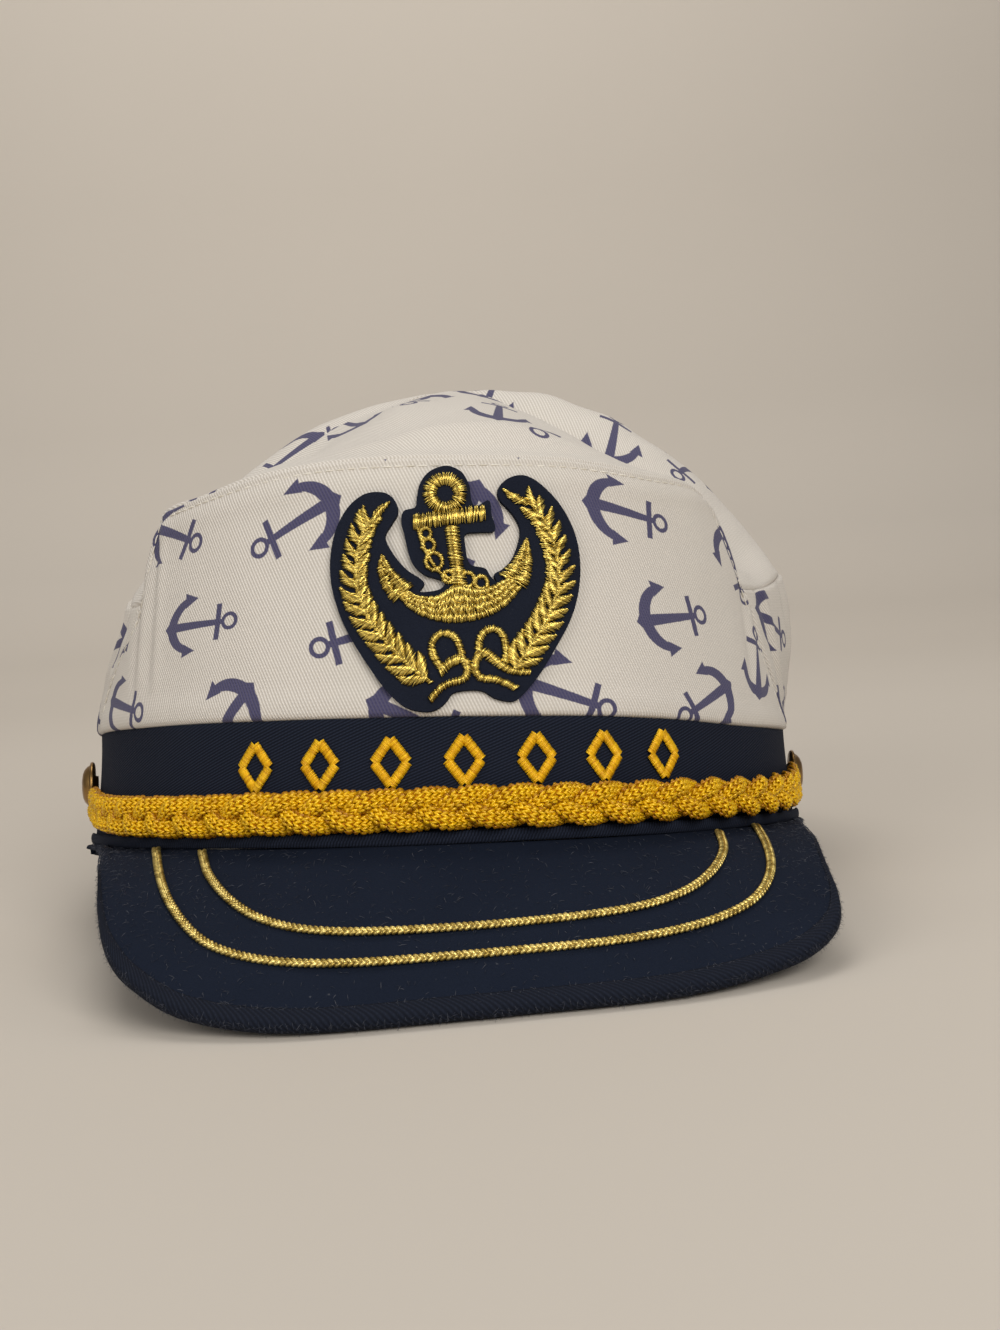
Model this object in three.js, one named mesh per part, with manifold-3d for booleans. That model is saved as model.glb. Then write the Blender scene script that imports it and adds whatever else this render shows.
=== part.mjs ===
// A captain's cap at its real size, in millimetres, +Z up, lying by itself on a flat surface.
// The cap is worked out in the frame of its band: the band's lower rim is the plane z = 0,
// the front faces -Y and +X is on the right of someone who looks at the front.
// The last group tilts it so that the visor's front edge and the back of the band touch the floor.

import * as THREE from 'three';
import Module from 'manifold-3d';
import { mergeVertices } from 'three/addons/utils/BufferGeometryUtils.js';

const wasm = await Module();
wasm.setup();

// Clearance between two pieces that touch on the real cap, and the extra room under stiff pieces
// that lie on a curved surface
const seamGap = 0.3;
const cordRoom = 0.15;
const motifRoom = 0.25;
const buttonRoom = 0.3;

// Band round the head opening
const headWidth = 172;
const headDepth = 186;
const bandThickness = 2;
const bandHeight = 25;
const bandFlare = 1.5;

// Folded strip that covers the joint of band and visor
const stripHeight = 2.4;
const stripThickness = 1;
const stripTurn = 78;

// White cloth of the crown. Turns are degrees from the middle of the front.
const clothThickness = 1.5;
const crownProud = 0.8;
const frontRise = 55.5;
const frontLean = 9;
const frontSideLean = 8;
const frontFootTurn = 72;
const backRise = 38;
const rightBulge = 4.5;
const leftHollow = 11;
const puffRise = 37.5;
const puffRight = 6;
const puffBack = 6;

// Visor board and its binding
const visorTurn = 76;
const visorHalfWidth = 75;
const visorReach = 37;
const visorDrop = 27;
const visorTwist = 3.7;
const visorShift = 1.4;
const visorThickness = 2.4;
const visorArch = 1.5;
const visorSeamOut = 0.5;
const bindingThickness = 1;
const bindingWidth = 3.2;
const bindingTurnShare = 0.82;

// Gold cords on the visor
const visorCordWidth = 2;

// Plaited braid across the front of the band
const braidWidth = 9;
const strandRadius = 1.15;
const braidPitch = 27;
const braidTurn = 76;
const strandClearance = 0.45;

// Buttons at the braid's ends
const buttonDiameter = 12;
const buttonThickness = 4;
const buttonTurn = 81;
const buttonHeightRight = 11;
const buttonHeightLeft = 14;
const buttonFootShare = 0.85;
const buttonRimShare = 0.25;

// Badge on the front panel
const badgeWidth = 52;
const badgeHeight = 52;
const badgeCentreUp = 27;
const feltThickness = 1.2;
const threadThickness = 1;
const anchorRingRadius = 4.2;
const anchorRingStroke = 2.1;
const stockWidth = 2.8;
const shankWidth = 2.6;
const chainWidth = 1.6;
const stemWidth = 0.9;
const leafPairs = 11;
const leafLength = 4.8;
const leafWidth = 1.8;
const leafLean = 38;
const leafTaper = 0.25;
const tipLeafLength = 4;
const bowLoopRadius = 3.2;
const bowLoopStroke = 1.1;
const ribbonWidth = 1.6;

// Row of plain embroidered lozenges on the band
const motifCount = 7;
const motifHeight = 11;
const motifWidth = 9;
const motifStroke = 1.8;
const motifThickness = 0.8;
const motifCentreUp = 16.5;
const motifRowTurn = 29;

// How far the soft rim and the soft binding flatten where they rest on the floor
const rimFlattening = 1.2;
const bindingFlattening = 0.6;

// Mesh density, as numbers of facets
const frontColumns = 9;
const upperRows = 4;
const lowerRows = 5;
const backColumns = 12;
const puffRings = 8;
const bandColumns = 48;
const visorColumns = 30;
const visorRows = 4;
const cordSteps = 26;
const cordSides = 5;
const stepsPerWave = 9;
const buttonSides = 16;
const buttonRings = 4;
const badgeColumns = 5;
const feltPoints = 84;
const armsPoints = 30;
const chainPoints = 18;
const stemPoints = 14;
const ringPoints = 7;

// Sizes that follow from those above
const bandHalfWidth = headWidth / 2 + bandThickness;
const bandHalfDepth = headDepth / 2 + bandThickness;
const crownHalfWidth = bandHalfWidth + crownProud;
const crownHalfDepth = bandHalfDepth + crownProud;
const crownFoot = bandHeight + seamGap;

// Top edge of the band round the head, as shares of its height. The soft edge sags on one side.
const bandTopEdge = [
  { turn: -180, up: 1.00 },
  { turn: -110, up: 1.01 },
  { turn: -70, up: 1.05 },
  { turn: -30, up: 1.03 },
  { turn: 0, up: 1.00 },
  { turn: 25, up: 0.96 },
  { turn: 48, up: 0.88 },
  { turn: 75, up: 0.87 },
  { turn: 110, up: 0.93 },
  { turn: 180, up: 1.00 },
];

// Top edge of the front panel from its middle to its corners, as shares of its rise
const frontTopEdge = [
  { across: 0.00, right: 1.000, left: 1.000 },
  { across: 0.35, right: 0.998, left: 1.004 },
  { across: 0.52, right: 0.986, left: 0.990 },
  { across: 0.70, right: 0.970, left: 0.960 },
  { across: 0.84, right: 0.966, left: 0.938 },
  { across: 0.94, right: 0.952, left: 0.925 },
  { across: 1.00, right: 0.925, left: 0.910 },
];

// Side edges of the front panel from foot to corner, as shares of the foot's turn
const frontSideEdge = [
  { up: 0.00, right: 0.985, left: 1.030 },
  { up: 0.16, right: 0.905, left: 1.000 },
  { up: 0.32, right: 0.840, left: 0.920 },
  { up: 0.50, right: 0.800, left: 0.830 },
  { up: 0.70, right: 0.755, left: 0.800 },
  { up: 0.87, right: 0.705, left: 0.780 },
  { up: 1.00, right: 0.635, left: 0.750 },
];

// Height on the side edge where front, back and top meet, as a share of that edge
const junctionUp = 0.6;

// Top edge of the back panel, from that meeting point to the middle of the back
const backTopEdge = [
  { way: 0.00, rise: 0.92 },
  { way: 0.28, rise: 1.05 },
  { way: 0.60, rise: 0.95 },
  { way: 1.00, rise: 0.86 },
];

// How the back panel swells on its right side and is drawn in on its left, from band to top edge
const backSwell = [
  { up: 0.00, right: 0.00, left: 0.00 },
  { up: 0.22, right: 0.66, left: 0.02 },
  { up: 0.50, right: 1.00, left: -0.48 },
  { up: 0.78, right: 0.86, left: -0.96 },
  { up: 1.00, right: 0.40, left: -1.00 },
];

// Rise of the top from its seam to its highest point, seen in four directions
const puffProfile = [
  { way: 0.00, front: 0.00, right: 0.00, back: 0.00, left: 0.00 },
  { way: 0.04, front: 0.04, right: 0.08, back: 0.11, left: 0.06 },
  { way: 0.09, front: 0.08, right: 0.17, back: 0.23, left: 0.15 },
  { way: 0.14, front: 0.12, right: 0.27, back: 0.33, left: 0.26 },
  { way: 0.20, front: 0.17, right: 0.38, back: 0.44, left: 0.37 },
  { way: 0.28, front: 0.25, right: 0.52, back: 0.57, left: 0.50 },
  { way: 0.38, front: 0.37, right: 0.67, back: 0.70, left: 0.63 },
  { way: 0.52, front: 0.55, right: 0.83, back: 0.83, left: 0.76 },
  { way: 0.70, front: 0.76, right: 0.94, back: 0.93, left: 0.89 },
  { way: 0.86, front: 0.92, right: 0.99, back: 0.98, left: 0.97 },
  { way: 1.00, front: 1.00, right: 1.00, back: 1.00, left: 1.00 },
];

// Soft roll, dents and folds of the top: depths as shares of its rise
const puffFolds = [
  { turn: 3, way: 0.12, turnSpread: 19, waySpread: 0.07, depth: 0.17 },
  { turn: 0, way: 0.27, turnSpread: 24, waySpread: 0.08, depth: -0.03 },
  { turn: -58, way: 0.32, turnSpread: 20, waySpread: 0.16, depth: -0.06 },
  { turn: 42, way: 0.20, turnSpread: 12, waySpread: 0.08, depth: -0.05 },
  { turn: 66, way: 0.13, turnSpread: 9, waySpread: 0.09, depth: -0.07 },
  { turn: 118, way: 0.30, turnSpread: 16, waySpread: 0.18, depth: -0.06 },
  { turn: 176, way: 0.36, turnSpread: 20, waySpread: 0.16, depth: -0.07 },
  { turn: -124, way: 0.28, turnSpread: 17, waySpread: 0.15, depth: -0.06 },
];

// Outer edge of the visor from the middle of the front to its end at the band
const visorEdge = [
  { way: 0.00, out: 0.000, forward: 1.00, drop: 1.000 },
  { way: 0.20, out: 0.460, forward: 0.97, drop: 0.985 },
  { way: 0.35, out: 0.713, forward: 0.81, drop: 0.880 },
  { way: 0.47, out: 0.847, forward: 0.60, drop: 0.690 },
  { way: 0.56, out: 0.913, forward: 0.38, drop: 0.500 },
  { way: 0.64, out: 0.953, forward: 0.08, drop: 0.330 },
  { way: 0.72, out: 0.987, forward: -0.24, drop: 0.190 },
  { way: 0.80, out: 1.027, forward: -0.62, drop: 0.100 },
  { way: 0.90, out: 1.093, forward: -1.30, drop: 0.035 },
  { way: 1.00, out: 1.190, forward: -1.93, drop: 0.000 },
];

// Lines of the two gold cords: share of the visor's turn, and share of the way to its edge
const outerCordLine = [
  { turn: 0.612, out: 0.05 },
  { turn: 0.595, out: 0.14 },
  { turn: 0.540, out: 0.36 },
  { turn: 0.470, out: 0.54 },
  { turn: 0.390, out: 0.66 },
  { turn: 0.300, out: 0.72 },
  { turn: 0.160, out: 0.745 },
  { turn: 0.000, out: 0.75 },
];
const innerCordLine = [
  { turn: 0.485, out: 0.05 },
  { turn: 0.472, out: 0.11 },
  { turn: 0.430, out: 0.27 },
  { turn: 0.360, out: 0.42 },
  { turn: 0.285, out: 0.52 },
  { turn: 0.180, out: 0.575 },
  { turn: 0.000, out: 0.595 },
];

// Height of the braid's middle from the front to its ends, as shares of the band's height
const braidLine = [
  { way: 0.00, up: 0.280 },
  { way: 0.65, up: 0.272 },
  { way: 0.85, up: 0.312 },
  { way: 1.00, up: 0.392 },
];

// Felt of the badge, clockwise from the top of its left lobe, as shares of its half sizes
const feltOutline = [
  { across: -0.60, up: 0.85 }, { across: -0.46, up: 0.73 }, { across: -0.48, up: 0.58 },
  { across: -0.55, up: 0.42 }, { across: -0.46, up: 0.27 }, { across: -0.37, up: 0.10 },
  { across: -0.29, up: 0.00 }, { across: -0.17, up: -0.01 }, { across: -0.16, up: 0.05 },
  { across: -0.25, up: 0.10 }, { across: -0.31, up: 0.20 }, { across: -0.33, up: 0.41 },
  { across: -0.43, up: 0.45 }, { across: -0.43, up: 0.60 }, { across: -0.30, up: 0.65 },
  { across: -0.31, up: 0.78 }, { across: -0.24, up: 0.94 }, { across: -0.09, up: 1.00 },
  { across: 0.07, up: 0.94 }, { across: 0.14, up: 0.79 }, { across: 0.15, up: 0.69 },
  { across: 0.31, up: 0.67 }, { across: 0.33, up: 0.49 }, { across: 0.11, up: 0.43 },
  { across: 0.10, up: 0.20 }, { across: 0.20, up: 0.10 }, { across: 0.31, up: 0.09 },
  { across: 0.39, up: 0.22 }, { across: 0.47, up: 0.42 }, { across: 0.45, up: 0.56 },
  { across: 0.36, up: 0.74 }, { across: 0.43, up: 0.89 }, { across: 0.57, up: 0.92 },
  { across: 0.75, up: 0.82 }, { across: 0.90, up: 0.60 }, { across: 0.98, up: 0.32 },
  { across: 0.98, up: 0.00 }, { across: 0.87, up: -0.31 }, { across: 0.70, up: -0.60 },
  { across: 0.54, up: -0.84 }, { across: 0.40, up: -0.95 }, { across: 0.17, up: -0.86 },
  { across: -0.01, up: -0.89 }, { across: -0.12, up: -0.98 }, { across: -0.25, up: -1.00 },
  { across: -0.38, up: -0.96 }, { across: -0.57, up: -0.79 }, { across: -0.81, up: -0.42 },
  { across: -0.95, up: -0.11 }, { across: -0.99, up: 0.20 }, { across: -0.93, up: 0.51 },
  { across: -0.80, up: 0.77 },
];

// Lower curve of the anchor's arms from tip to tip, then back along the upper curve
const armsOutline = [
  { across: -0.58, up: 0.29 }, { across: -0.57, up: 0.12 }, { across: -0.50, up: -0.13 },
  { across: -0.34, up: -0.25 }, { across: -0.01, up: -0.32 }, { across: 0.32, up: -0.23 },
  { across: 0.51, up: -0.06 }, { across: 0.58, up: 0.14 }, { across: 0.56, up: 0.38 },
  { across: 0.44, up: 0.22 }, { across: 0.34, up: 0.05 }, { across: 0.20, up: -0.07 },
  { across: 0.00, up: -0.11 }, { across: -0.22, up: -0.10 }, { across: -0.36, up: -0.02 },
  { across: -0.46, up: 0.16 },
];

// Middle line of the chain that hangs from the stock and winds over the arms
const chainLine = [
  { across: -0.26, up: 0.46 }, { across: -0.20, up: 0.38 }, { across: -0.23, up: 0.30 },
  { across: -0.17, up: 0.22 }, { across: -0.20, up: 0.14 }, { across: -0.10, up: 0.06 },
  { across: 0.00, up: 0.08 }, { across: 0.08, up: 0.02 }, { across: 0.18, up: 0.02 },
];

// Stems of the two branches of the wreath, from the foot to the tip
const leftBranch = [
  { across: -0.25, up: -0.74 }, { across: -0.48, up: -0.54 }, { across: -0.69, up: -0.26 },
  { across: -0.79, up: 0.00 }, { across: -0.79, up: 0.26 }, { across: -0.70, up: 0.50 },
  { across: -0.56, up: 0.70 },
];
const rightBranch = [
  { across: 0.35, up: -0.70 }, { across: 0.55, up: -0.52 }, { across: 0.71, up: -0.27 },
  { across: 0.80, up: 0.00 }, { across: 0.80, up: 0.27 }, { across: 0.72, up: 0.53 },
  { across: 0.52, up: 0.79 },
];

const radians = THREE.MathUtils.degToRad;
const mix = THREE.MathUtils.lerp;
const smooth = (value) => THREE.MathUtils.smoothstep(value, 0, 1);

// A smooth curve through one column of a table, at a place in another column
function readTable(rows, along, column, place) {
  const last = rows.length - 1;
  const at = THREE.MathUtils.clamp(place, rows[0][along], rows[last][along]);
  let row = 0;
  while (row < last - 1 && at > rows[row + 1][along]) row += 1;
  const slope = (index) => {
    const before = rows[Math.max(index - 1, 0)];
    const after = rows[Math.min(index + 1, last)];
    return (after[column] - before[column]) / (after[along] - before[along]);
  };
  const start = rows[row];
  const end = rows[row + 1];
  const width = end[along] - start[along];
  const share = (at - start[along]) / width;
  const bend = share * share * (3 - 2 * share);
  const easeIn = share * (1 - share) * (1 - share) * width * slope(row);
  const easeOut = share * share * (share - 1) * width * slope(row + 1);
  return mix(start[column], end[column], bend) + easeIn + easeOut;
}

// A point at a turn from the front on an upright oval
function ovalPoint(halfWidth, halfDepth, turn, height) {
  return new THREE.Vector3(
    halfWidth * Math.sin(radians(turn)),
    -halfDepth * Math.cos(radians(turn)),
    height,
  );
}

// The outward direction of an oval at a turn
function ovalOutward(halfWidth, halfDepth, turn) {
  return new THREE.Vector3(
    Math.sin(radians(turn)) / halfWidth,
    -Math.cos(radians(turn)) / halfDepth,
    0,
  ).normalize();
}

// Unit normal of a surface of two parameters, each from its least to its greatest value
function surfaceNormal(surface, first, second, limits) {
  const step = 0.002;
  const clampFirst = (value) => THREE.MathUtils.clamp(value, limits.first[0], limits.first[1]);
  const clampSecond = (value) => THREE.MathUtils.clamp(value, limits.second[0], limits.second[1]);
  const alongFirst = surface(clampFirst(first + step), second)
    .sub(surface(clampFirst(first - step), second));
  const alongSecond = surface(first, clampSecond(second + step))
    .sub(surface(first, clampSecond(second - step)));
  return alongFirst.cross(alongSecond).normalize();
}

// Closed solid between two grids of points, outer[column][row] and inner[column][row].
// Columns run so that column direction x row direction points out of the solid.
function solidBetween(outer, inner, { wraps = false, pole = false } = {}) {
  const columns = outer.length;
  const rows = outer[0].length;
  const ringRows = pole ? rows - 1 : rows;
  const positions = [];
  const faces = [];
  for (const grid of [outer, inner]) {
    for (const column of grid) {
      for (let row = 0; row < ringRows; row += 1) positions.push(...column[row].toArray());
    }
  }
  if (pole) {
    positions.push(...outer[0][rows - 1].toArray(), ...inner[0][rows - 1].toArray());
  }
  const outerPoint = (column, row) => (column % columns) * ringRows + row;
  const innerPoint = (column, row) => columns * ringRows + outerPoint(column, row);
  const quad = (a, b, c, d) => faces.push(a, b, c, a, c, d);
  const spans = wraps ? columns : columns - 1;
  for (let column = 0; column < spans; column += 1) {
    const next = column + 1;
    for (let row = 0; row < ringRows - 1; row += 1) {
      quad(outerPoint(column, row), outerPoint(next, row),
        outerPoint(next, row + 1), outerPoint(column, row + 1));
      quad(innerPoint(next, row), innerPoint(column, row),
        innerPoint(column, row + 1), innerPoint(next, row + 1));
    }
    quad(outerPoint(next, 0), outerPoint(column, 0), innerPoint(column, 0), innerPoint(next, 0));
    const top = ringRows - 1;
    if (pole) {
      const outerPole = 2 * columns * ringRows;
      faces.push(outerPoint(column, top), outerPoint(next, top), outerPole);
      faces.push(innerPoint(next, top), innerPoint(column, top), outerPole + 1);
    } else {
      quad(outerPoint(column, top), outerPoint(next, top),
        innerPoint(next, top), innerPoint(column, top));
    }
  }
  if (!wraps) {
    const end = columns - 1;
    for (let row = 0; row < ringRows - 1; row += 1) {
      quad(outerPoint(0, row), outerPoint(0, row + 1), innerPoint(0, row + 1), innerPoint(0, row));
      quad(outerPoint(end, row + 1), outerPoint(end, row),
        innerPoint(end, row), innerPoint(end, row + 1));
    }
  }
  const geometry = new THREE.BufferGeometry();
  geometry.setAttribute('position', new THREE.Float32BufferAttribute(positions, 3));
  geometry.setIndex(faces);
  return geometry;
}

// Closed bar through a list of sections with as many points each. The outline is one section
// laid flat, and tells how the two ends are filled.
function solidThrough(sections, outline) {
  const positions = sections.flat().flatMap((point) => point.toArray());
  const faces = [];
  const sides = outline.length;
  for (let section = 0; section < sections.length - 1; section += 1) {
    for (let side = 0; side < sides; side += 1) {
      const next = (side + 1) % sides;
      const here = section * sides;
      const there = here + sides;
      faces.push(here + side, there + side, here + next);
      faces.push(here + next, there + side, there + next);
    }
  }
  const end = (sections.length - 1) * sides;
  for (const [a, b, c] of THREE.ShapeUtils.triangulateShape(outline, [])) {
    faces.push(a, b, c, end + c, end + b, end + a);
  }
  const geometry = new THREE.BufferGeometry();
  geometry.setAttribute('position', new THREE.Float32BufferAttribute(positions, 3));
  geometry.setIndex(faces);
  return geometry;
}

// Boolean work on closed meshes
function toManifold(geometry) {
  const bare = geometry.clone();
  bare.deleteAttribute('normal');
  bare.deleteAttribute('uv');
  const merged = mergeVertices(bare, 1e-4);
  return new wasm.Manifold(new wasm.Mesh({
    numProp: 3,
    vertProperties: new Float32Array(merged.attributes.position.array),
    triVerts: new Uint32Array(merged.index.array),
  }));
}

function fromManifold(manifold) {
  const mesh = manifold.getMesh();
  const geometry = new THREE.BufferGeometry();
  geometry.setAttribute('position', new THREE.BufferAttribute(mesh.vertProperties, 3));
  geometry.setIndex(new THREE.BufferAttribute(mesh.triVerts, 1));
  return geometry;
}

// Band

// Height of the band's top edge at a turn, which may be given from 0 to 360
function bandTop(turn) {
  const signed = THREE.MathUtils.euclideanModulo(turn + 180, 360) - 180;
  return bandHeight * readTable(bandTopEdge, 'turn', 'up', signed);
}

function bandPoint(turn, height, out = 0) {
  const flare = bandFlare * Math.max(1 - height / bandHeight, 0) ** 2;
  return ovalPoint(bandHalfWidth + flare + out, bandHalfDepth + flare + out, turn, height);
}

function bandNormal(turn) {
  return ovalOutward(bandHalfWidth, bandHalfDepth, turn);
}

function makeBand() {
  const shares = [0, 0.4, 1];
  const outer = [];
  const inner = [];
  for (let column = 0; column < bandColumns; column += 1) {
    const turn = (column / bandColumns) * 360;
    const heights = shares.map((share) => share * bandTop(turn));
    outer.push(heights.map((height) => bandPoint(turn, height)));
    inner.push(heights.map((height) => bandPoint(turn, height)
      .addScaledVector(bandNormal(turn), -bandThickness)));
  }
  return solidBetween(outer, inner, { wraps: true });
}

function makeStrip() {
  const columns = Math.round((bandColumns * stripTurn) / 180);
  const heights = [seamGap, stripHeight / 2, stripHeight];
  const outer = [];
  const inner = [];
  for (let column = 0; column <= columns; column += 1) {
    const turn = mix(-stripTurn, stripTurn, column / columns);
    outer.push(heights.map((height) => bandPoint(turn, height, seamGap + stripThickness)));
    inner.push(heights.map((height) => bandPoint(turn, height, seamGap)));
  }
  return solidBetween(outer, inner);
}

// Front and back panels

const frontLimits = { first: [-1, 1], second: [0, 1] };
const backLimits = { first: [0, 1], second: [0, 1] };
const cornerShares = frontTopEdge[frontTopEdge.length - 1];
const sideOf = (across) => (across < 0 ? 'left' : 'right');

function frontEdgeTurn(up, side) {
  return frontFootTurn * readTable(frontSideEdge, 'up', side, up);
}

// Height of a point of the cloth above the band's rim: its foot follows the band's top edge
function clothHeight(turn, rise, up) {
  return crownFoot + rise + (bandTop(turn) - bandHeight) * (1 - up) ** 2;
}

// across: -1 at the left side seam to 1 at the right; up: 0 at the band to 1 at the top seam
function frontSurface(across, up) {
  const side = sideOf(across);
  const turn = across * frontEdgeTurn(up, side);
  const rise = up * frontRise * readTable(frontTopEdge, 'across', side, Math.abs(across));
  const lean = rise / frontRise;
  return ovalPoint(
    crownHalfWidth - frontSideLean * lean,
    crownHalfDepth - frontLean * lean,
    turn,
    clothHeight(turn, rise, up),
  );
}

// around: 0 at the right side seam to 1 at the left, round the back; up: 0 to 1 at its top edge
function backSurface(around, up) {
  const side = around < 0.5 ? 'right' : 'left';
  const upOnEdge = up * junctionUp;
  const turn = mix(frontEdgeTurn(upOnEdge, 'right'), 360 - frontEdgeTurn(upOnEdge, 'left'), around);
  const toMiddle = 1 - Math.abs(2 * around - 1);
  const junctionRise = junctionUp * cornerShares[side] * frontRise;
  const fullRise = backRise * readTable(backTopEdge, 'way', 'rise', toMiddle);
  const fromSeam = smooth(toMiddle / 0.25);
  const rise = up * mix(junctionRise, fullRise, fromSeam);
  const swell = mix(
    rightBulge * readTable(backSwell, 'up', 'right', up),
    leftHollow * readTable(backSwell, 'up', 'left', up),
    smooth((around - 0.3) / 0.4),
  );
  const lean = rise / frontRise;
  return ovalPoint(
    crownHalfWidth + mix(-frontSideLean * lean, swell, fromSeam),
    crownHalfDepth + mix(-frontLean * lean, swell, fromSeam),
    turn,
    clothHeight(turn, rise, up * junctionUp),
  );
}

// Top seam: 0 at the middle of the front, 1 and -1 at the middle of the back

const halfSeamColumns = frontColumns + upperRows + backColumns;
const cornerPlace = frontColumns / halfSeamColumns;
const junctionPlace = (frontColumns + upperRows) / halfSeamColumns;

function topSeam(place) {
  const side = place < 0 ? -1 : 1;
  const way = Math.abs(place);
  if (way <= cornerPlace) {
    const across = (side * way) / cornerPlace;
    return {
      point: frontSurface(across, 1),
      below: surfaceNormal(frontSurface, across, 1, frontLimits),
    };
  }
  if (way <= junctionPlace) {
    const down = (way - cornerPlace) / (junctionPlace - cornerPlace);
    const up = mix(1, junctionUp, down);
    return {
      point: frontSurface(side, up),
      below: surfaceNormal(frontSurface, side, up, frontLimits),
    };
  }
  const half = (way - junctionPlace) / (1 - junctionPlace) / 2;
  const around = side > 0 ? half : 1 - half;
  return {
    point: backSurface(around, 1),
    below: surfaceNormal(backSurface, around, 1, backLimits),
  };
}

const puffTop = new THREE.Vector3(puffRight, puffBack, crownFoot + frontRise + puffRise);

// Turns at which the front's profile of the top gives way to the side's, and the side's to the back's
const sideTurns = { from: 42, to: 76 };
const backTurns = { from: 105, to: 155 };
const blend = (value, { from, to }) => THREE.MathUtils.smoothstep(value, from, to);

// way: 0 at the seam to 1 at the highest point
function puffSurface(place, way) {
  const seam = topSeam(place).point;
  const turn = THREE.MathUtils.radToDeg(Math.atan2(seam.x, -seam.y));
  const front = 1 - blend(Math.abs(turn), sideTurns);
  const back = blend(Math.abs(turn), backTurns);
  const side = turn > 0 ? 'right' : 'left';
  const share = front * readTable(puffProfile, 'way', 'front', way)
    + back * readTable(puffProfile, 'way', 'back', way)
    + (1 - front - back) * readTable(puffProfile, 'way', side, way);
  let fold = 0;
  for (const { turn: foldTurn, way: foldWay, turnSpread, waySpread, depth } of puffFolds) {
    const aside = THREE.MathUtils.euclideanModulo(turn - foldTurn + 180, 360) - 180;
    fold += depth * Math.exp(-((aside / turnSpread) ** 2) - ((way - foldWay) / waySpread) ** 2);
  }
  const point = seam.clone().lerp(puffTop, way);
  const hold = smooth(way / 0.08);
  point.z = mix(seam.z, puffTop.z, share) + fold * hold * puffRise;
  return point;
}

const puffLimits = { first: [-1, 1], second: [0, 1] };

// Step from the outer to the inner side of the cloth at the top seam, shared by both panels
function seamInward(place) {
  const above = surfaceNormal(puffSurface, place, 0.004, puffLimits);
  const { below } = topSeam(place);
  const middle = above.clone().add(below).normalize();
  const spread = Math.max(middle.dot(below), 0.5);
  return middle.multiplyScalar(-clothThickness / spread);
}

function inwardStep(surface, first, second, limits) {
  return surfaceNormal(surface, first, second, limits).multiplyScalar(-clothThickness);
}

function flatInwardStep(surface, first, second, limits) {
  return surfaceNormal(surface, first, second, limits).setZ(0)
    .setLength(clothThickness).negate();
}

const frontUps = [
  ...Array.from({ length: lowerRows }, (_, row) => (row / lowerRows) * junctionUp),
  ...Array.from({ length: upperRows + 1 }, (_, row) => mix(junctionUp, 1, row / upperRows)),
];

// Share of the seam gap that one panel gives up, against the length that its parameter spans
const inset = (length) => seamGap / 2 / length;

function makeFrontPanel() {
  const outer = [];
  const inner = [];
  for (let column = -frontColumns; column <= frontColumns; column += 1) {
    const across = column / frontColumns;
    const atSide = Math.abs(column) === frontColumns;
    const outerColumn = [];
    const innerColumn = [];
    frontUps.forEach((up, row) => {
      const halfArc = radians(frontEdgeTurn(up, sideOf(across))) * crownHalfWidth;
      const atTop = row === frontUps.length - 1;
      const point = frontSurface(
        atSide ? across * (1 - inset(halfArc)) : across,
        atTop ? 1 - inset(frontRise) : up,
      );
      let step = inwardStep(frontSurface, across, up, frontLimits);
      if (row === 0) step = flatInwardStep(frontSurface, across, up, frontLimits);
      if (atTop) step = seamInward(across * cornerPlace);
      if (atSide && up >= junctionUp) {
        const down = (1 - up) / (1 - junctionUp);
        step = seamInward(across * mix(cornerPlace, junctionPlace, down));
      }
      outerColumn.push(point);
      innerColumn.push(point.clone().add(step));
    });
    outer.push(outerColumn);
    inner.push(innerColumn);
  }
  return solidBetween(outer, inner);
}

function makeBackPanel() {
  const outer = [];
  const inner = [];
  const columns = 2 * backColumns;
  const backLength = Math.PI * crownHalfDepth;
  for (let column = 0; column <= columns; column += 1) {
    const around = column / columns;
    const outerColumn = [];
    const innerColumn = [];
    for (let row = 0; row <= lowerRows; row += 1) {
      const up = row / lowerRows;
      const atTop = row === lowerRows;
      let insetAround = around;
      if (column === 0) insetAround = inset(backLength);
      if (column === columns) insetAround = 1 - inset(backLength);
      const point = backSurface(insetAround, atTop ? 1 - inset(backRise) : up);
      let step = inwardStep(backSurface, around, up, backLimits);
      if (row === 0) step = flatInwardStep(backSurface, around, up, backLimits);
      if (atTop) {
        const place = mix(junctionPlace, 2 - junctionPlace, around);
        step = seamInward(place > 1 ? place - 2 : place);
      }
      outerColumn.push(point);
      innerColumn.push(point.clone().add(step));
    }
    outer.push(outerColumn);
    inner.push(innerColumn);
  }
  return solidBetween(outer, inner);
}

function makeTopPanel() {
  const outer = [];
  const inner = [];
  const columns = 2 * halfSeamColumns;
  for (let column = 0; column < columns; column += 1) {
    const place = column / halfSeamColumns - 1;
    const outerColumn = [];
    const innerColumn = [];
    for (let ring = 0; ring <= puffRings; ring += 1) {
      const way = (ring / puffRings) ** 1.35;
      const atSeam = ring === 0;
      const length = topSeam(place).point.distanceTo(puffTop);
      const point = puffSurface(place, atSeam ? inset(length) : way);
      const step = atSeam ? seamInward(place) : inwardStep(puffSurface, place, way, puffLimits);
      outerColumn.push(point);
      innerColumn.push(point.clone().add(ring === puffRings
        ? new THREE.Vector3(0, 0, -clothThickness) : step));
    }
    outer.push(outerColumn);
    inner.push(innerColumn);
  }
  return solidBetween(outer, inner, { wraps: true, pole: true });
}

// Visor

function visorSeamPoint(way) {
  const turn = way * visorTurn;
  return ovalPoint(
    bandHalfWidth + bandFlare + visorSeamOut,
    bandHalfDepth + bandFlare + visorSeamOut,
    turn,
    -seamGap,
  );
}

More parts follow.
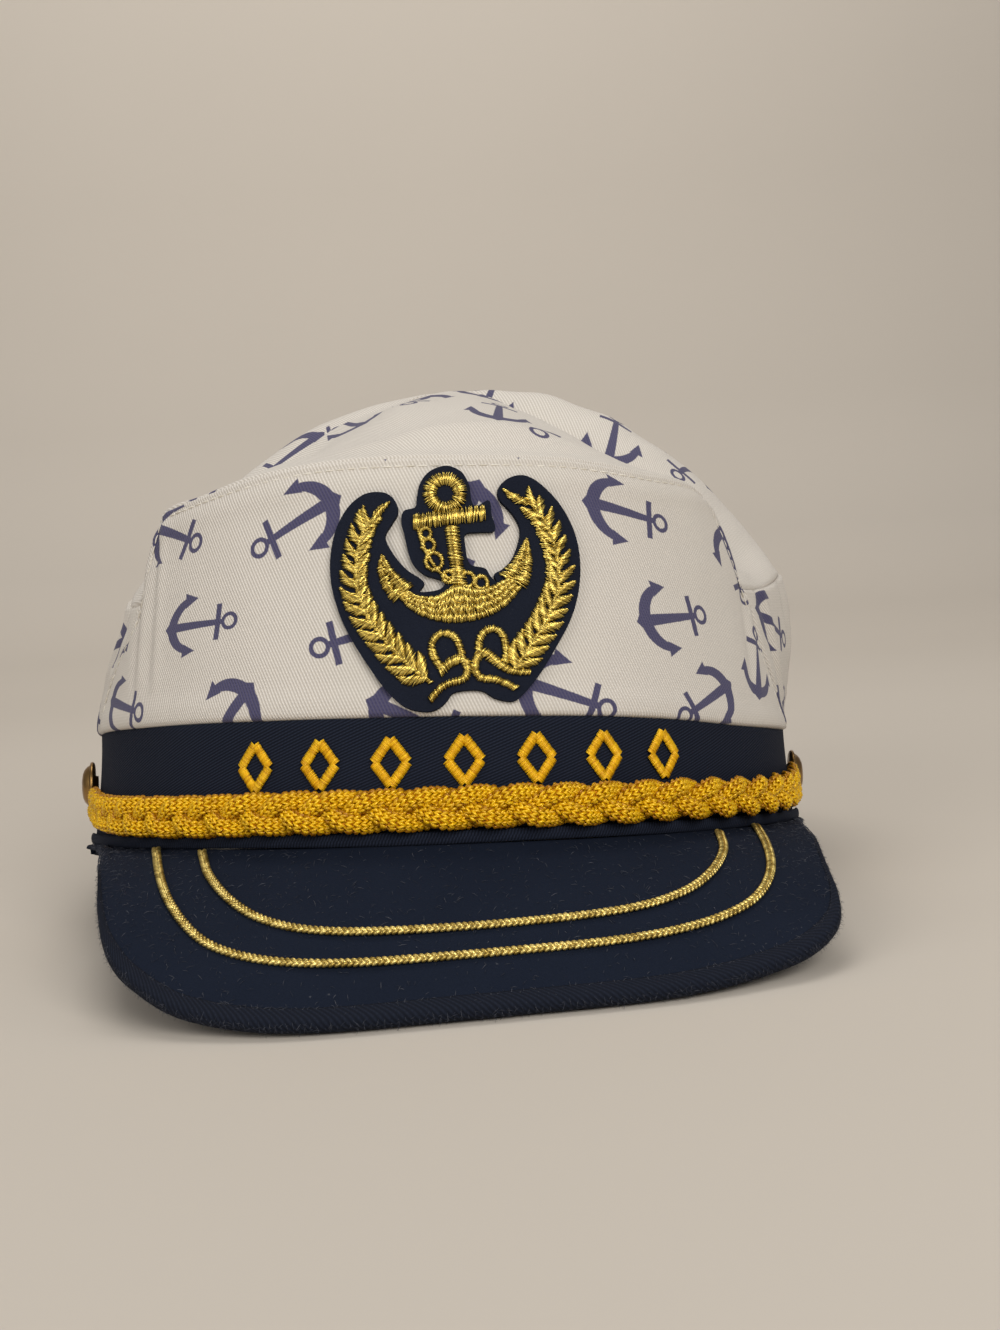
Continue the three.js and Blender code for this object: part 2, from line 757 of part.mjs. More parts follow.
function visorEdgePoint(way) {
  const side = Math.sign(way);
  const read = (column) => readTable(visorEdge, 'way', column, Math.abs(way));
  return new THREE.Vector3(
    side * visorHalfWidth * read('out') + visorShift * (1 - Math.abs(way) ** 3),
    -bandHalfDepth - visorReach * read('forward'),
    -seamGap - (visorDrop - side * visorTwist * read('out')) * read('drop'),
  );
}

// way: -1 at the left end to 1 at the right end; inward: 0 at the outer edge to 1 at the seam
function visorSurface(way, inward) {
  const point = visorEdgePoint(way).lerp(visorSeamPoint(way), inward);
  point.z += visorArch * 4 * inward * (1 - inward) * (1 - Math.abs(way) ** 4);
  return point;
}

const visorLimits = { first: [-1, 1], second: [0, 1] };

function visorNormal(way, inward) {
  return surfaceNormal(visorSurface, way, inward, visorLimits);
}

// Rows of the visor's mesh: the first strip is as wide as the binding that covers it
function visorRowPlace(way, row) {
  const width = visorEdgePoint(way).distanceTo(visorSeamPoint(way));
  const bound = Math.min(bindingWidth / width, 0.5);
  return row === 0 ? 0 : mix(bound, 1, (row - 1) / (visorRows - 1));
}

function visorTop(way, row) {
  return visorSurface(way, visorRowPlace(way, row));
}

function visorUp(way, row) {
  return visorNormal(way, THREE.MathUtils.clamp(visorRowPlace(way, row), 0.05, 0.95));
}

function makeVisor() {
  const outer = [];
  const inner = [];
  for (let column = 0; column <= visorColumns; column += 1) {
    const way = (2 * column) / visorColumns - 1;
    const top = [];
    const under = [];
    for (let row = 0; row <= visorRows; row += 1) {
      const point = visorTop(way, row);
      const step = row === visorRows ? new THREE.Vector3(0, 0, -visorThickness)
        : visorUp(way, row).multiplyScalar(-visorThickness);
      top.push(point);
      under.push(point.clone().add(step));
    }
    const tucked = ovalPoint(
      bandHalfWidth - bandThickness / 2,
      bandHalfDepth - bandThickness / 2,
      way * visorTurn,
      -seamGap,
    );
    top.push(tucked);
    under.push(tucked.clone().setZ(-seamGap - visorThickness));
    outer.push(top);
    inner.push(under);
  }
  return solidBetween(outer, inner);
}

// Folded tape round the outer edge: an open C whose mouth takes the visor
function makeBinding() {
  const lip = seamGap + bindingThickness;
  const round = seamGap + bindingThickness * 0.4;
  const sectionAt = (way) => {
    const [edgeUp, flapUp] = [visorUp(way, 0), visorUp(way, 1)];
    const along = visorEdgePoint(way + 0.01).sub(visorEdgePoint(way - 0.01));
    const out = along.cross(edgeUp).normalize();
    const edgeTop = visorTop(way, 0);
    const flapTop = visorTop(way, 1);
    const place = (start, up, height, reach) => start.clone()
      .addScaledVector(up, height).addScaledVector(out, reach);
    const under = -visorThickness;
    return [
      place(flapTop, flapUp, seamGap, 0),
      place(edgeTop, edgeUp, seamGap, seamGap),
      place(edgeTop, edgeUp, under - seamGap, seamGap),
      place(flapTop, flapUp, under - seamGap, 0),
      place(flapTop, flapUp, under - lip, 0),
      place(edgeTop, edgeUp, under - lip, round),
      place(edgeTop, edgeUp, under, lip),
      place(edgeTop, edgeUp, 0, lip),
      place(edgeTop, edgeUp, lip, round),
      place(flapTop, flapUp, lip, 0),
    ];
  };
  const outline = [
    [-bindingWidth, seamGap], [seamGap, seamGap],
    [seamGap, -visorThickness - seamGap], [-bindingWidth, -visorThickness - seamGap],
    [-bindingWidth, -visorThickness - lip], [round, -visorThickness - lip],
    [lip, -visorThickness], [lip, 0], [round, lip], [-bindingWidth, lip],
  ].map(([across, up]) => new THREE.Vector2(across, up));
  const sections = [];
  const halfColumns = visorColumns / 2;
  const reach = Math.floor(bindingTurnShare * halfColumns);
  for (let column = -reach; column <= reach; column += 1) {
    sections.push(sectionAt(column / halfColumns));
  }
  return solidThrough(sections, outline);
}

// Cords, strands and buttons

function makeTube(points, radius, sides, steps) {
  const circle = new THREE.Shape();
  for (let side = 0; side < sides; side += 1) {
    const angle = (side / sides) * 2 * Math.PI;
    const [x, y] = [radius * Math.cos(angle), radius * Math.sin(angle)];
    if (side === 0) circle.moveTo(x, y);
    else circle.lineTo(x, y);
  }
  circle.closePath();
  const path = new THREE.CatmullRomCurve3(points);
  return new THREE.ExtrudeGeometry(circle, { steps, extrudePath: path, bevelEnabled: false });
}

function makeVisorCord(line) {
  const half = line.map(({ turn, out }) => ({ turn, inward: 1 - out }));
  const places = [
    ...half.map(({ turn, inward }) => ({ way: -turn, inward })),
    ...half.slice(0, -1).reverse().map(({ turn, inward }) => ({ way: turn, inward })),
  ];
  const radius = visorCordWidth / 2;
  const lift = radius + seamGap + cordRoom;
  const ways = places.map(({ way, inward }) => new THREE.Vector2(way, inward));
  const plan = new THREE.SplineCurve(ways);
  const points = plan.getPoints(cordSteps).map(({ x, y }) => visorSurface(x, y)
    .addScaledVector(visorNormal(x, y), lift));
  return makeTube(points, radius, cordSides, cordSteps);
}

function makeStrand(index) {
  const meanRadius = (bandHalfWidth + bandHalfDepth) / 2;
  const length = 2 * radians(braidTurn) * meanRadius;
  const waves = Math.round(length / braidPitch);
  const steps = waves * stepsPerWave;
  const swing = braidWidth / 2 - strandRadius;
  const weave = (strandRadius + strandClearance) / Math.sin(Math.PI / 3);
  const points = [];
  for (let step = 0; step <= steps; step += 1) {
    const share = step / steps;
    const turn = mix(-braidTurn, braidTurn, share);
    const phase = 2 * Math.PI * (share * waves + index / 3);
    const middle = bandHeight * readTable(braidLine, 'way', 'up', Math.abs(turn) / braidTurn);
    const height = middle + swing * Math.sin(phase);
    const clear = seamGap + strandRadius + weave;
    points.push(bandPoint(turn, height)
      .addScaledVector(bandNormal(turn), clear + weave * Math.sin(2 * phase)));
  }
  return makeTube(points, strandRadius, cordSides, steps);
}

function makeButton() {
  const radius = buttonDiameter / 2;
  const profile = [new THREE.Vector2(0, 0), new THREE.Vector2(radius * buttonFootShare, 0)];
  for (let step = 0; step < buttonRings; step += 1) {
    const angle = (step / buttonRings) * (Math.PI / 2);
    const height = buttonThickness * mix(buttonRimShare, 1, Math.sin(angle));
    profile.push(new THREE.Vector2(radius * Math.cos(angle), height));
  }
  profile.push(new THREE.Vector2(0, buttonThickness));
  return new THREE.LatheGeometry(profile, buttonSides);
}

// Badge: flat outlines cut out of layers that lie on the front panel

// A layer of the front panel's shape, from one distance outside the cloth to another
function frontLayer(from, to) {
  const outer = [];
  const inner = [];
  for (let column = -badgeColumns; column <= badgeColumns; column += 1) {
    const across = column / frontColumns;
    const lift = (distance) => frontUps.map((up) => frontSurface(across, up)
      .addScaledVector(surfaceNormal(frontSurface, across, up, frontLimits), distance));
    outer.push(lift(to));
    inner.push(lift(from));
  }
  return toManifold(solidBetween(outer, inner));
}

const badgePlace = ({ across, up }) => new THREE.Vector2(
  (across * badgeWidth) / 2,
  (up * badgeHeight) / 2,
);

// Upright prism of a flat outline, reaching from in front of the badge to behind the panel
function badgePrism(shape) {
  const depth = crownHalfDepth;
  const geometry = new THREE.ExtrudeGeometry(shape, { depth, bevelEnabled: false, curveSegments: ringPoints });
  geometry.rotateX(Math.PI / 2);
  geometry.translate(0, -depth / 2, crownFoot + badgeCentreUp);
  return toManifold(geometry);
}

function smoothOutline(rows, points) {
  const corners = rows.map((row) => badgePlace(row)).map(({ x, y }) => new THREE.Vector3(x, y, 0));
  const curve = new THREE.CatmullRomCurve3(corners, true);
  const outline = curve.getPoints(points).slice(0, -1);
  return new THREE.Shape(outline.map(({ x, y }) => new THREE.Vector2(x, y)));
}

// A stroke of even width along a line of points
function stroke(points, width) {
  const left = [];
  const right = [];
  points.forEach((point, index) => {
    const before = points[Math.max(index - 1, 0)];
    const after = points[Math.min(index + 1, points.length - 1)];
    const along = after.clone().sub(before).normalize();
    const aside = new THREE.Vector2(-along.y, along.x).multiplyScalar(width / 2);
    left.push(point.clone().add(aside));
    right.push(point.clone().sub(aside));
  });
  return new THREE.Shape([...right, ...left.reverse()]);
}

function diamond(centre, direction, length, width) {
  const along = direction.clone().normalize().multiplyScalar(length / 2);
  const aside = new THREE.Vector2(-along.y, along.x).setLength(width / 2);
  return new THREE.Shape([
    centre.clone().sub(along),
    centre.clone().sub(aside),
    centre.clone().add(along),
    centre.clone().add(aside),
  ]);
}

function ring(centre, outerRadius, innerRadius) {
  const shape = new THREE.Shape();
  shape.absarc(centre.x, centre.y, outerRadius, 0, 2 * Math.PI);
  const hole = new THREE.Path();
  hole.absarc(centre.x, centre.y, innerRadius, 0, 2 * Math.PI, true);
  shape.holes.push(hole);
  return shape;
}

function cutFromLayer(shapes, layer) {
  const solid = shapes.map(badgePrism).reduce((joined, next) => joined.add(next));
  return fromManifold(layer.intersect(solid));
}

function makeBadge() {
  const feltOutside = seamGap + feltThickness;
  const feltLayer = frontLayer(seamGap, feltOutside);
  const threadLayer = frontLayer(feltOutside + seamGap, feltOutside + seamGap + threadThickness);
  const anchorRing = badgePlace({ across: -0.073, up: 0.76 });
  const stock = [{ across: -0.36, up: 0.51 }, { across: 0.26, up: 0.58 }];
  const shank = [{ across: -0.06, up: 0.66 }, { across: 0.01, up: -0.2 }];
  const chain = new THREE.SplineCurve(chainLine.map(badgePlace));
  const anchor = [
    ring(anchorRing, anchorRingRadius, anchorRingRadius - anchorRingStroke),
    stroke(stock.map(badgePlace), stockWidth),
    stroke(shank.map(badgePlace), shankWidth),
    smoothOutline(armsOutline, armsPoints),
    stroke(chain.getPoints(chainPoints), chainWidth),
  ];
  const branch = (line) => {
    const stem = new THREE.SplineCurve(line.map(badgePlace));
    const shapes = [stroke(stem.getPoints(stemPoints), stemWidth)];
    for (let pair = 0; pair < leafPairs; pair += 1) {
      const share = mix(0.1, 0.96, pair / (leafPairs - 1));
      const centre = stem.getPoint(share);
      const along = stem.getTangent(share);
      const length = leafLength * (1 - leafTaper * share);
      for (const side of [-1, 1]) {
        const lean = along.clone().rotateAround(new THREE.Vector2(), side * radians(leafLean));
        const place = centre.clone().addScaledVector(lean, length * 0.45);
        shapes.push(diamond(place, lean, length, leafWidth));
      }
    }
    shapes.push(diamond(stem.getPoint(1), stem.getTangent(1), tipLeafLength, leafWidth));
    return shapes;
  };
  const ribbon = [
    { across: -0.26, up: -0.90 }, { across: -0.12, up: -0.63 }, { across: 0.05, up: -0.59 },
    { across: 0.21, up: -0.60 }, { across: 0.42, up: -0.83 },
  ];
  const bowLoop = (place) => ring(badgePlace(place), bowLoopRadius, bowLoopRadius - bowLoopStroke);
  const bow = [
    bowLoop({ across: -0.10, up: -0.50 }),
    bowLoop({ across: 0.21, up: -0.47 }),
    stroke(ribbon.map(badgePlace), ribbonWidth),
  ];
  return {
    patch_backing: cutFromLayer([smoothOutline(feltOutline, feltPoints)], feltLayer),
    patch_anchor: cutFromLayer(anchor, threadLayer),
    patch_wreath_left: cutFromLayer(branch(leftBranch), threadLayer),
    patch_wreath_right: cutFromLayer(branch(rightBranch), threadLayer),
    patch_bow: cutFromLayer(bow, threadLayer),
  };
}

// One open lozenge on the band at a turn
function makeMotif(turn) {
  const lozenge = (scale) => [
    new THREE.Vector2((-motifWidth * scale) / 2, 0), new THREE.Vector2(0, (-motifHeight * scale) / 2),
    new THREE.Vector2((motifWidth * scale) / 2, 0), new THREE.Vector2(0, (motifHeight * scale) / 2),
  ];
  const middleToSide = (motifWidth * motifHeight) / 2 / Math.hypot(motifWidth, motifHeight);
  const shape = new THREE.Shape(lozenge(1));
  shape.holes.push(new THREE.Path(lozenge(1 - motifStroke / middleToSide).reverse()));
  const geometry = new THREE.ExtrudeGeometry(shape, { depth: motifThickness, bevelEnabled: false });
  geometry.rotateX(Math.PI / 2);
  geometry.rotateZ(Math.atan2(bandNormal(turn).y, bandNormal(turn).x) + Math.PI / 2);
  const place = bandPoint(turn, motifCentreUp)
    .addScaledVector(bandNormal(turn), seamGap + motifRoom);
  geometry.translate(place.x, place.y, place.z);
  return geometry;
}

// Materials

const finish = (color, roughness, metalness = 0) => new THREE.MeshStandardMaterial({
  color, roughness, metalness, side: THREE.DoubleSide,
});
const whiteTwill = finish(0xe9e4db, 0.9);
const navyTwill = finish(0x161d31, 0.85);
const navyFelt = finish(0x141a2c, 0.95);
const goldThread = finish(0xc9a34a, 0.4, 0.8);
const yellowCord = finish(0xe2a81e, 0.5);
const brass = finish(0xb58a3c, 0.35, 1);

// The cap, in the frame of its band

const cap = new THREE.Group();

function add(name, geometry, material) {
  const mesh = new THREE.Mesh(geometry, material.clone());
  mesh.name = name;
  cap.add(mesh);
  return mesh;
}

add('front_panel', makeFrontPanel(), whiteTwill);
add('back_panel', makeBackPanel(), whiteTwill);
add('top_panel', makeTopPanel(), whiteTwill);
add('band', makeBand(), navyTwill);
add('visor_seam_strip', makeStrip(), navyTwill);
add('visor', makeVisor(), navyFelt);
add('visor_binding', makeBinding(), navyTwill);
add('visor_cord_outer', makeVisorCord(outerCordLine), goldThread);
add('visor_cord_inner', makeVisorCord(innerCordLine), goldThread);
for (let index = 0; index < 3; index += 1) {
  add(`braid_strand_${index + 1}`, makeStrand(index), yellowCord);
}
const buttonPlaces = [['right', 1, buttonHeightRight], ['left', -1, buttonHeightLeft]];
for (const [name, side, height] of buttonPlaces) {
  const turn = side * buttonTurn;
  const button = add(`button_${name}`, makeButton(), brass);
  const room = seamGap + buttonRoom;
  button.position.copy(bandPoint(turn, height).addScaledVector(bandNormal(turn), room));
  button.quaternion.setFromUnitVectors(new THREE.Vector3(0, 1, 0), bandNormal(turn));
}
const badge = makeBadge();
add('patch_backing', badge.patch_backing, navyFelt);
for (const name of ['patch_anchor', 'patch_wreath_left', 'patch_wreath_right', 'patch_bow']) {
  add(name, badge[name], goldThread);
}
for (let index = 0; index < motifCount; index += 1) {
  const turn = mix(-motifRowTurn, motifRowTurn, index / (motifCount - 1));
  add(`band_motif_${index + 1}`, makeMotif(turn), yellowCord);
}

// Lie the cap down on three places: both ends of the visor's front edge and the back of the band

cap.updateMatrixWorld(true);

function lowestPoint(mesh, turned, counts) {
  const corner = new THREE.Vector3();
  const places = mesh.geometry.attributes.position;
  let lowest = Infinity;
  for (let index = 0; index < places.count; index += 1) {
    corner.fromBufferAttribute(places, index);
    if (counts(corner)) lowest = Math.min(lowest, corner.applyMatrix4(turned).z);
  }
  return lowest;
}

const visorBinding = cap.getObjectByName('visor_binding');
const bandRing = cap.getObjectByName('band');
const restLength = 2 * bandHalfDepth + visorReach;
let restTilt = Math.atan2(visorDrop, restLength);
let restRoll = 0;
let floorHeight = 0;
const restTurn = new THREE.Matrix4();
for (let round = 0; round < 40; round += 1) {
  restTurn.makeRotationFromEuler(new THREE.Euler(-restTilt, restRoll, 0, 'YXZ'));
  const left = lowestPoint(visorBinding, restTurn, (corner) => corner.x < 0);
  const right = lowestPoint(visorBinding, restTurn, (corner) => corner.x > 0);
  floorHeight = lowestPoint(bandRing, restTurn, (corner) => corner.y > 0) + rimFlattening;
  restTilt += (floorHeight - bindingFlattening - (left + right) / 2) / restLength;
  restRoll += (right - left) / (2 * visorHalfWidth);
}

// Cloth below the floor is pressed flat onto it
const floorNormal = new THREE.Vector3(0, 0, 1).transformDirection(restTurn.clone().invert());
for (const mesh of [visorBinding, bandRing]) {
  const places = mesh.geometry.attributes.position;
  const corner = new THREE.Vector3();
  for (let index = 0; index < places.count; index += 1) {
    corner.fromBufferAttribute(places, index);
    const height = corner.dot(floorNormal) - floorHeight;
    if (height < 0) corner.addScaledVector(floorNormal, -height);
    places.setXYZ(index, corner.x, corner.y, corner.z);
  }
}

cap.rotation.set(-restTilt, restRoll, 0, 'YXZ');
const captainHat = new THREE.Group();
captainHat.add(cap);
captainHat.updateMatrixWorld(true);
const bounds = new THREE.Box3().setFromObject(captainHat, true);
cap.position.set(
  -(bounds.min.x + bounds.max.x) / 2,
  -(bounds.min.y + bounds.max.y) / 2,
  -bounds.min.z,
);

export default captainHat;
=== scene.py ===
"""A captain's cap that lies by itself on a pale floor, dressed over its fixed CAD frame.

The pieces are worked out in the frame of the band, in millimetres: the band's lower rim is the
plane z = 0 and the front faces -Y. placed() then lays a piece down as the CAD does, in metres.
"""

import math
from contextlib import contextmanager

import bmesh
import bpy
import numpy as np
from mathutils import Euler, Matrix, Vector, geometry


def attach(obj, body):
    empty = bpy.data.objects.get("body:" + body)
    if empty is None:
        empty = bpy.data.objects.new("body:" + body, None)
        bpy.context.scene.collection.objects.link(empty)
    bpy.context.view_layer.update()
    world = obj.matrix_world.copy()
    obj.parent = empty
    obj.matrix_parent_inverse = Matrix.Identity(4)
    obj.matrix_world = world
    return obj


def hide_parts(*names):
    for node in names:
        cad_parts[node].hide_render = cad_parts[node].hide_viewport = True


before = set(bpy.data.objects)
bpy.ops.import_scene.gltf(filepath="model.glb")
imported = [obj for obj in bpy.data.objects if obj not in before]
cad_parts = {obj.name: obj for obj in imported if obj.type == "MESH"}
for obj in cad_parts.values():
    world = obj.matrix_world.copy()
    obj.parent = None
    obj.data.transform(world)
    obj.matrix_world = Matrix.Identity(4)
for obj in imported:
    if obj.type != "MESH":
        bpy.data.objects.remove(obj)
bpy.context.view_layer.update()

# How the CAD lies on the floor: tilt and roll in degrees, then its place in millimetres
REST_TILT = 7.670
REST_ROLL = 2.750
REST_PLACE = (-2.176, 17.588, 12.338)

# The photographed view, from the frame of the band; two values are in the photo's pixels
EYE = (-16.0, -399.0, 13.3)
EYE_YAW = 4.5
EYE_PITCH = 4.17
EYE_ROLL = -2.0
FOCAL_PIXELS = 1500
PHOTO_HEIGHT_PIXELS = 1330
SENSOR_WIDTH = 36
LENS = FOCAL_PIXELS / PHOTO_HEIGHT_PIXELS * SENSOR_WIDTH

# Sizes of the band, in millimetres
SEAM_GAP = 0.3
BAND_HALF_WIDTH = 88.0
BAND_HALF_DEPTH = 95.0
BAND_THICKNESS = 2.0
BAND_HEIGHT = 25.0
BAND_FLARE = 1.5
STRIP_TURN = 78.0

# Sizes of the crown
CROWN_PROUD = 0.8
CROWN_HALF_WIDTH = BAND_HALF_WIDTH + CROWN_PROUD
CROWN_HALF_DEPTH = BAND_HALF_DEPTH + CROWN_PROUD
CROWN_FOOT = BAND_HEIGHT + SEAM_GAP
CLOTH_THICKNESS = 1.5
FRONT_RISE = 55.5
FRONT_LEAN = 9.0
FRONT_SIDE_LEAN = 8.0
FRONT_FOOT_TURN = 72.0
BACK_RISE = 38.0
RIGHT_BULGE = 4.5
LEFT_HOLLOW = 11.0
PUFF_RISE = 37.5
PUFF_TOP = np.array([6.0, 6.0, CROWN_FOOT + FRONT_RISE + PUFF_RISE])
JUNCTION_UP = 0.6

# Sizes of the visor
VISOR_TURN = 76.0
VISOR_HALF_WIDTH = 75.0
VISOR_REACH = 37.0
VISOR_DROP = 27.0
VISOR_TWIST = 3.7
VISOR_SHIFT = 1.4
VISOR_THICKNESS = 2.4
VISOR_ARCH = 1.5
VISOR_SEAM_OUT = 0.5
VISOR_FULL_RIGHT = 3.2
VISOR_FULL_LEFT = 2.6
BINDING_WIDTH = 3.2
BINDING_SHARE = 0.82

# Sizes of the braid and the badge
BRAID_WIDTH = 9.0
BRAID_PITCH = 27.0
BRAID_TURN = 76.0
BRAID_OVERRUN = 2.2
STRAND_HALF_WIDTH = 1.5
COURSE_PITCH = 1.34
CHAIN_WIDTH = 1.7
CHAIN_PITCH = 1.12
BUTTON_TURN = 81.0
BADGE_UP = 27.0
FELT_THICKNESS = 1.1
MOTIF_TURN = 29.0
MOTIF_UP = 16.5
MOTIF_HALF = (3.75, 4.75)
MOTIF_COUNT = 7

# Sizes of the seams: from the edge to the stitches, and from one stitch to the next
STITCH_INSET = 2.2
STITCH_PITCH = 2.55
STITCH_LENGTH = 2.0
STITCH_THICKNESS = 0.2


def table(**columns):
    return {name: np.array(values, float) for name, values in columns.items()}


BAND_TOP_EDGE = table(
    turn=[-180, -110, -70, -30, 0, 25, 48, 75, 110, 180],
    up=[1.00, 1.01, 1.05, 1.03, 1.00, 0.96, 0.88, 0.87, 0.93, 1.00],
)
FRONT_TOP_EDGE = table(
    across=[0.00, 0.35, 0.52, 0.70, 0.84, 0.94, 1.00],
    right=[1.000, 0.998, 0.986, 0.970, 0.966, 0.952, 0.925],
    left=[1.000, 1.004, 0.990, 0.960, 0.938, 0.925, 0.910],
)
FRONT_SIDE_EDGE = table(
    up=[0.00, 0.16, 0.32, 0.50, 0.70, 0.87, 1.00],
    right=[0.985, 0.905, 0.840, 0.800, 0.755, 0.705, 0.635],
    left=[1.030, 1.000, 0.920, 0.830, 0.800, 0.780, 0.750],
)
BACK_TOP_EDGE = table(way=[0.00, 0.28, 0.60, 1.00], rise=[0.92, 1.05, 0.95, 0.86])
BACK_SWELL = table(
    up=[0.00, 0.22, 0.50, 0.78, 1.00],
    right=[0.00, 0.66, 1.00, 0.86, 0.40],
    left=[0.00, 0.02, -0.48, -0.96, -1.00],
)
PUFF_PROFILE = table(
    way=[0.00, 0.04, 0.09, 0.14, 0.20, 0.28, 0.38, 0.52, 0.70, 0.86, 1.00],
    front=[0.00, 0.04, 0.08, 0.12, 0.17, 0.25, 0.37, 0.55, 0.76, 0.92, 1.00],
    right=[0.00, 0.08, 0.17, 0.27, 0.38, 0.52, 0.67, 0.83, 0.94, 0.99, 1.00],
    back=[0.00, 0.11, 0.23, 0.33, 0.44, 0.57, 0.70, 0.83, 0.93, 0.98, 1.00],
    left=[0.00, 0.06, 0.15, 0.26, 0.37, 0.50, 0.63, 0.76, 0.89, 0.97, 1.00],
)
PUFF_FOLDS = table(
    turn=[3, 0, -58, 42, 66, 118, 176, -124],
    way=[0.12, 0.27, 0.32, 0.20, 0.13, 0.30, 0.36, 0.28],
    turn_spread=[19, 24, 20, 12, 9, 16, 20, 17],
    way_spread=[0.07, 0.08, 0.16, 0.08, 0.09, 0.18, 0.16, 0.15],
    depth=[0.17, -0.03, -0.06, -0.05, -0.07, -0.06, -0.07, -0.06],
)
VISOR_EDGE = table(
    way=[0.00, 0.20, 0.35, 0.47, 0.56, 0.64, 0.72, 0.80, 0.90, 1.00],
    out=[0.000, 0.460, 0.713, 0.847, 0.913, 0.953, 0.987, 1.027, 1.093, 1.190],
    forward=[1.00, 0.97, 0.81, 0.60, 0.38, 0.08, -0.24, -0.62, -1.30, -1.93],
    drop=[1.000, 0.985, 0.880, 0.690, 0.500, 0.330, 0.190, 0.100, 0.035, 0.000],
)
OUTER_CORD = table(
    turn=[0.000, 0.160, 0.300, 0.390, 0.470, 0.540, 0.595, 0.612],
    out=[0.75, 0.745, 0.72, 0.66, 0.54, 0.36, 0.14, 0.05],
)
INNER_CORD = table(
    turn=[0.000, 0.180, 0.285, 0.360, 0.430, 0.472, 0.485],
    out=[0.595, 0.575, 0.52, 0.42, 0.27, 0.11, 0.05],
)
BRAID_LINE = table(way=[0.00, 0.65, 0.85, 1.00], up=[0.280, 0.272, 0.312, 0.392])
# The braid is loose at the front and pulled tight at its ends
BRAID_LOOSE = {"swing": 1.0, "out": 2.35, "cross": 1.35, "thick": 1.30}
BRAID_TIGHT = {"swing": 0.86, "out": 0.80, "cross": 0.35, "thick": 0.90}


def smooth(value, start=0.0, end=1.0):
    share = np.clip((value - start) / (end - start), 0, 1)
    return share * share * (3 - 2 * share)


def mix(a, b, share):
    return a + (b - a) * share


def read(rows, along, column, place):
    """A smooth curve through one column of a table, at a place in another column."""
    x, y = rows[along], rows[column]
    place = np.clip(place, x[0], x[-1])
    row = np.clip(np.searchsorted(x, place) - 1, 0, len(x) - 2)
    index = np.arange(len(x))
    before, after = np.maximum(index - 1, 0), np.minimum(index + 1, len(x) - 1)
    slope = (y[after] - y[before]) / (x[after] - x[before])
    width = x[row + 1] - x[row]
    share = (place - x[row]) / width
    value = mix(y[row], y[row + 1], share * share * (3 - 2 * share))
    value = value + share * (1 - share) ** 2 * width * slope[row]
    return value + share * share * (share - 1) * width * slope[row + 1]


def by_side(rows, along, place, side):
    return np.where(side < 0, read(rows, along, "left", place), read(rows, along, "right", place))


def oval(half_width, half_depth, turn, height):
    angle = np.radians(turn)
    parts = np.broadcast_arrays(half_width * np.sin(angle), -half_depth * np.cos(angle), height)
    return np.stack(parts, -1).astype(float)


def unit(vectors):
    return vectors / np.maximum(np.linalg.norm(vectors, axis=-1, keepdims=True), 1e-9)


def square_to(axis, vectors, share=1.0):
    """Unit vectors, with a share of their part along an axis taken out."""
    return unit(vectors - (vectors * axis).sum(-1, keepdims=True) * axis * share)


def band_normal(turn):
    return unit(oval(1 / BAND_HALF_WIDTH, 1 / BAND_HALF_DEPTH, turn, 0.0))


def band_top(turn):
    signed = (np.asarray(turn) + 180) % 360 - 180
    return BAND_HEIGHT * read(BAND_TOP_EDGE, "turn", "up", signed)


def band_point(turn, height, out=0.0):
    flare = BAND_FLARE * np.maximum(1 - height / BAND_HEIGHT, 0) ** 2 + out
    return oval(BAND_HALF_WIDTH + flare, BAND_HALF_DEPTH + flare, turn, height)


def front_edge_turn(up, side):
    return FRONT_FOOT_TURN * by_side(FRONT_SIDE_EDGE, "up", up, side)


def cloth_height(turn, rise, up):
    return CROWN_FOOT + rise + (band_top(turn) - BAND_HEIGHT) * (1 - up) ** 2


def front_surface(across, up):
    turn = across * front_edge_turn(up, across)
    rise = up * FRONT_RISE * by_side(FRONT_TOP_EDGE, "across", np.abs(across), across)
    lean = rise / FRONT_RISE
    width = CROWN_HALF_WIDTH - FRONT_SIDE_LEAN * lean
    depth = CROWN_HALF_DEPTH - FRONT_LEAN * lean
    return oval(width, depth, turn, cloth_height(turn, rise, up))


def back_surface(around, up):
    side = np.where(around < 0.5, 1.0, -1.0)
    on_edge = up * JUNCTION_UP
    right, left = front_edge_turn(on_edge, 1.0), 360 - front_edge_turn(on_edge, -1.0)
    turn = mix(right, left, around)
    to_middle = 1 - np.abs(2 * around - 1)
    corner = np.where(side > 0, FRONT_TOP_EDGE["right"][-1], FRONT_TOP_EDGE["left"][-1])
    full_rise = BACK_RISE * read(BACK_TOP_EDGE, "way", "rise", to_middle)
    from_seam = smooth(to_middle / 0.25)
    rise = up * mix(JUNCTION_UP * corner * FRONT_RISE, full_rise, from_seam)
    swell = mix(
        RIGHT_BULGE * read(BACK_SWELL, "up", "right", up),
        LEFT_HOLLOW * read(BACK_SWELL, "up", "left", up),
        smooth((around - 0.3) / 0.4),
    )
    lean = rise / FRONT_RISE
    width = CROWN_HALF_WIDTH + mix(-FRONT_SIDE_LEAN * lean, swell, from_seam)
    depth = CROWN_HALF_DEPTH + mix(-FRONT_LEAN * lean, swell, from_seam)
    return oval(width, depth, turn, cloth_height(turn, rise, on_edge))


# Places along half the top's seam: the front panel's corner, and where the back wall begins
CORNER_PLACE = 9 / 25
JUNCTION_PLACE = 13 / 25


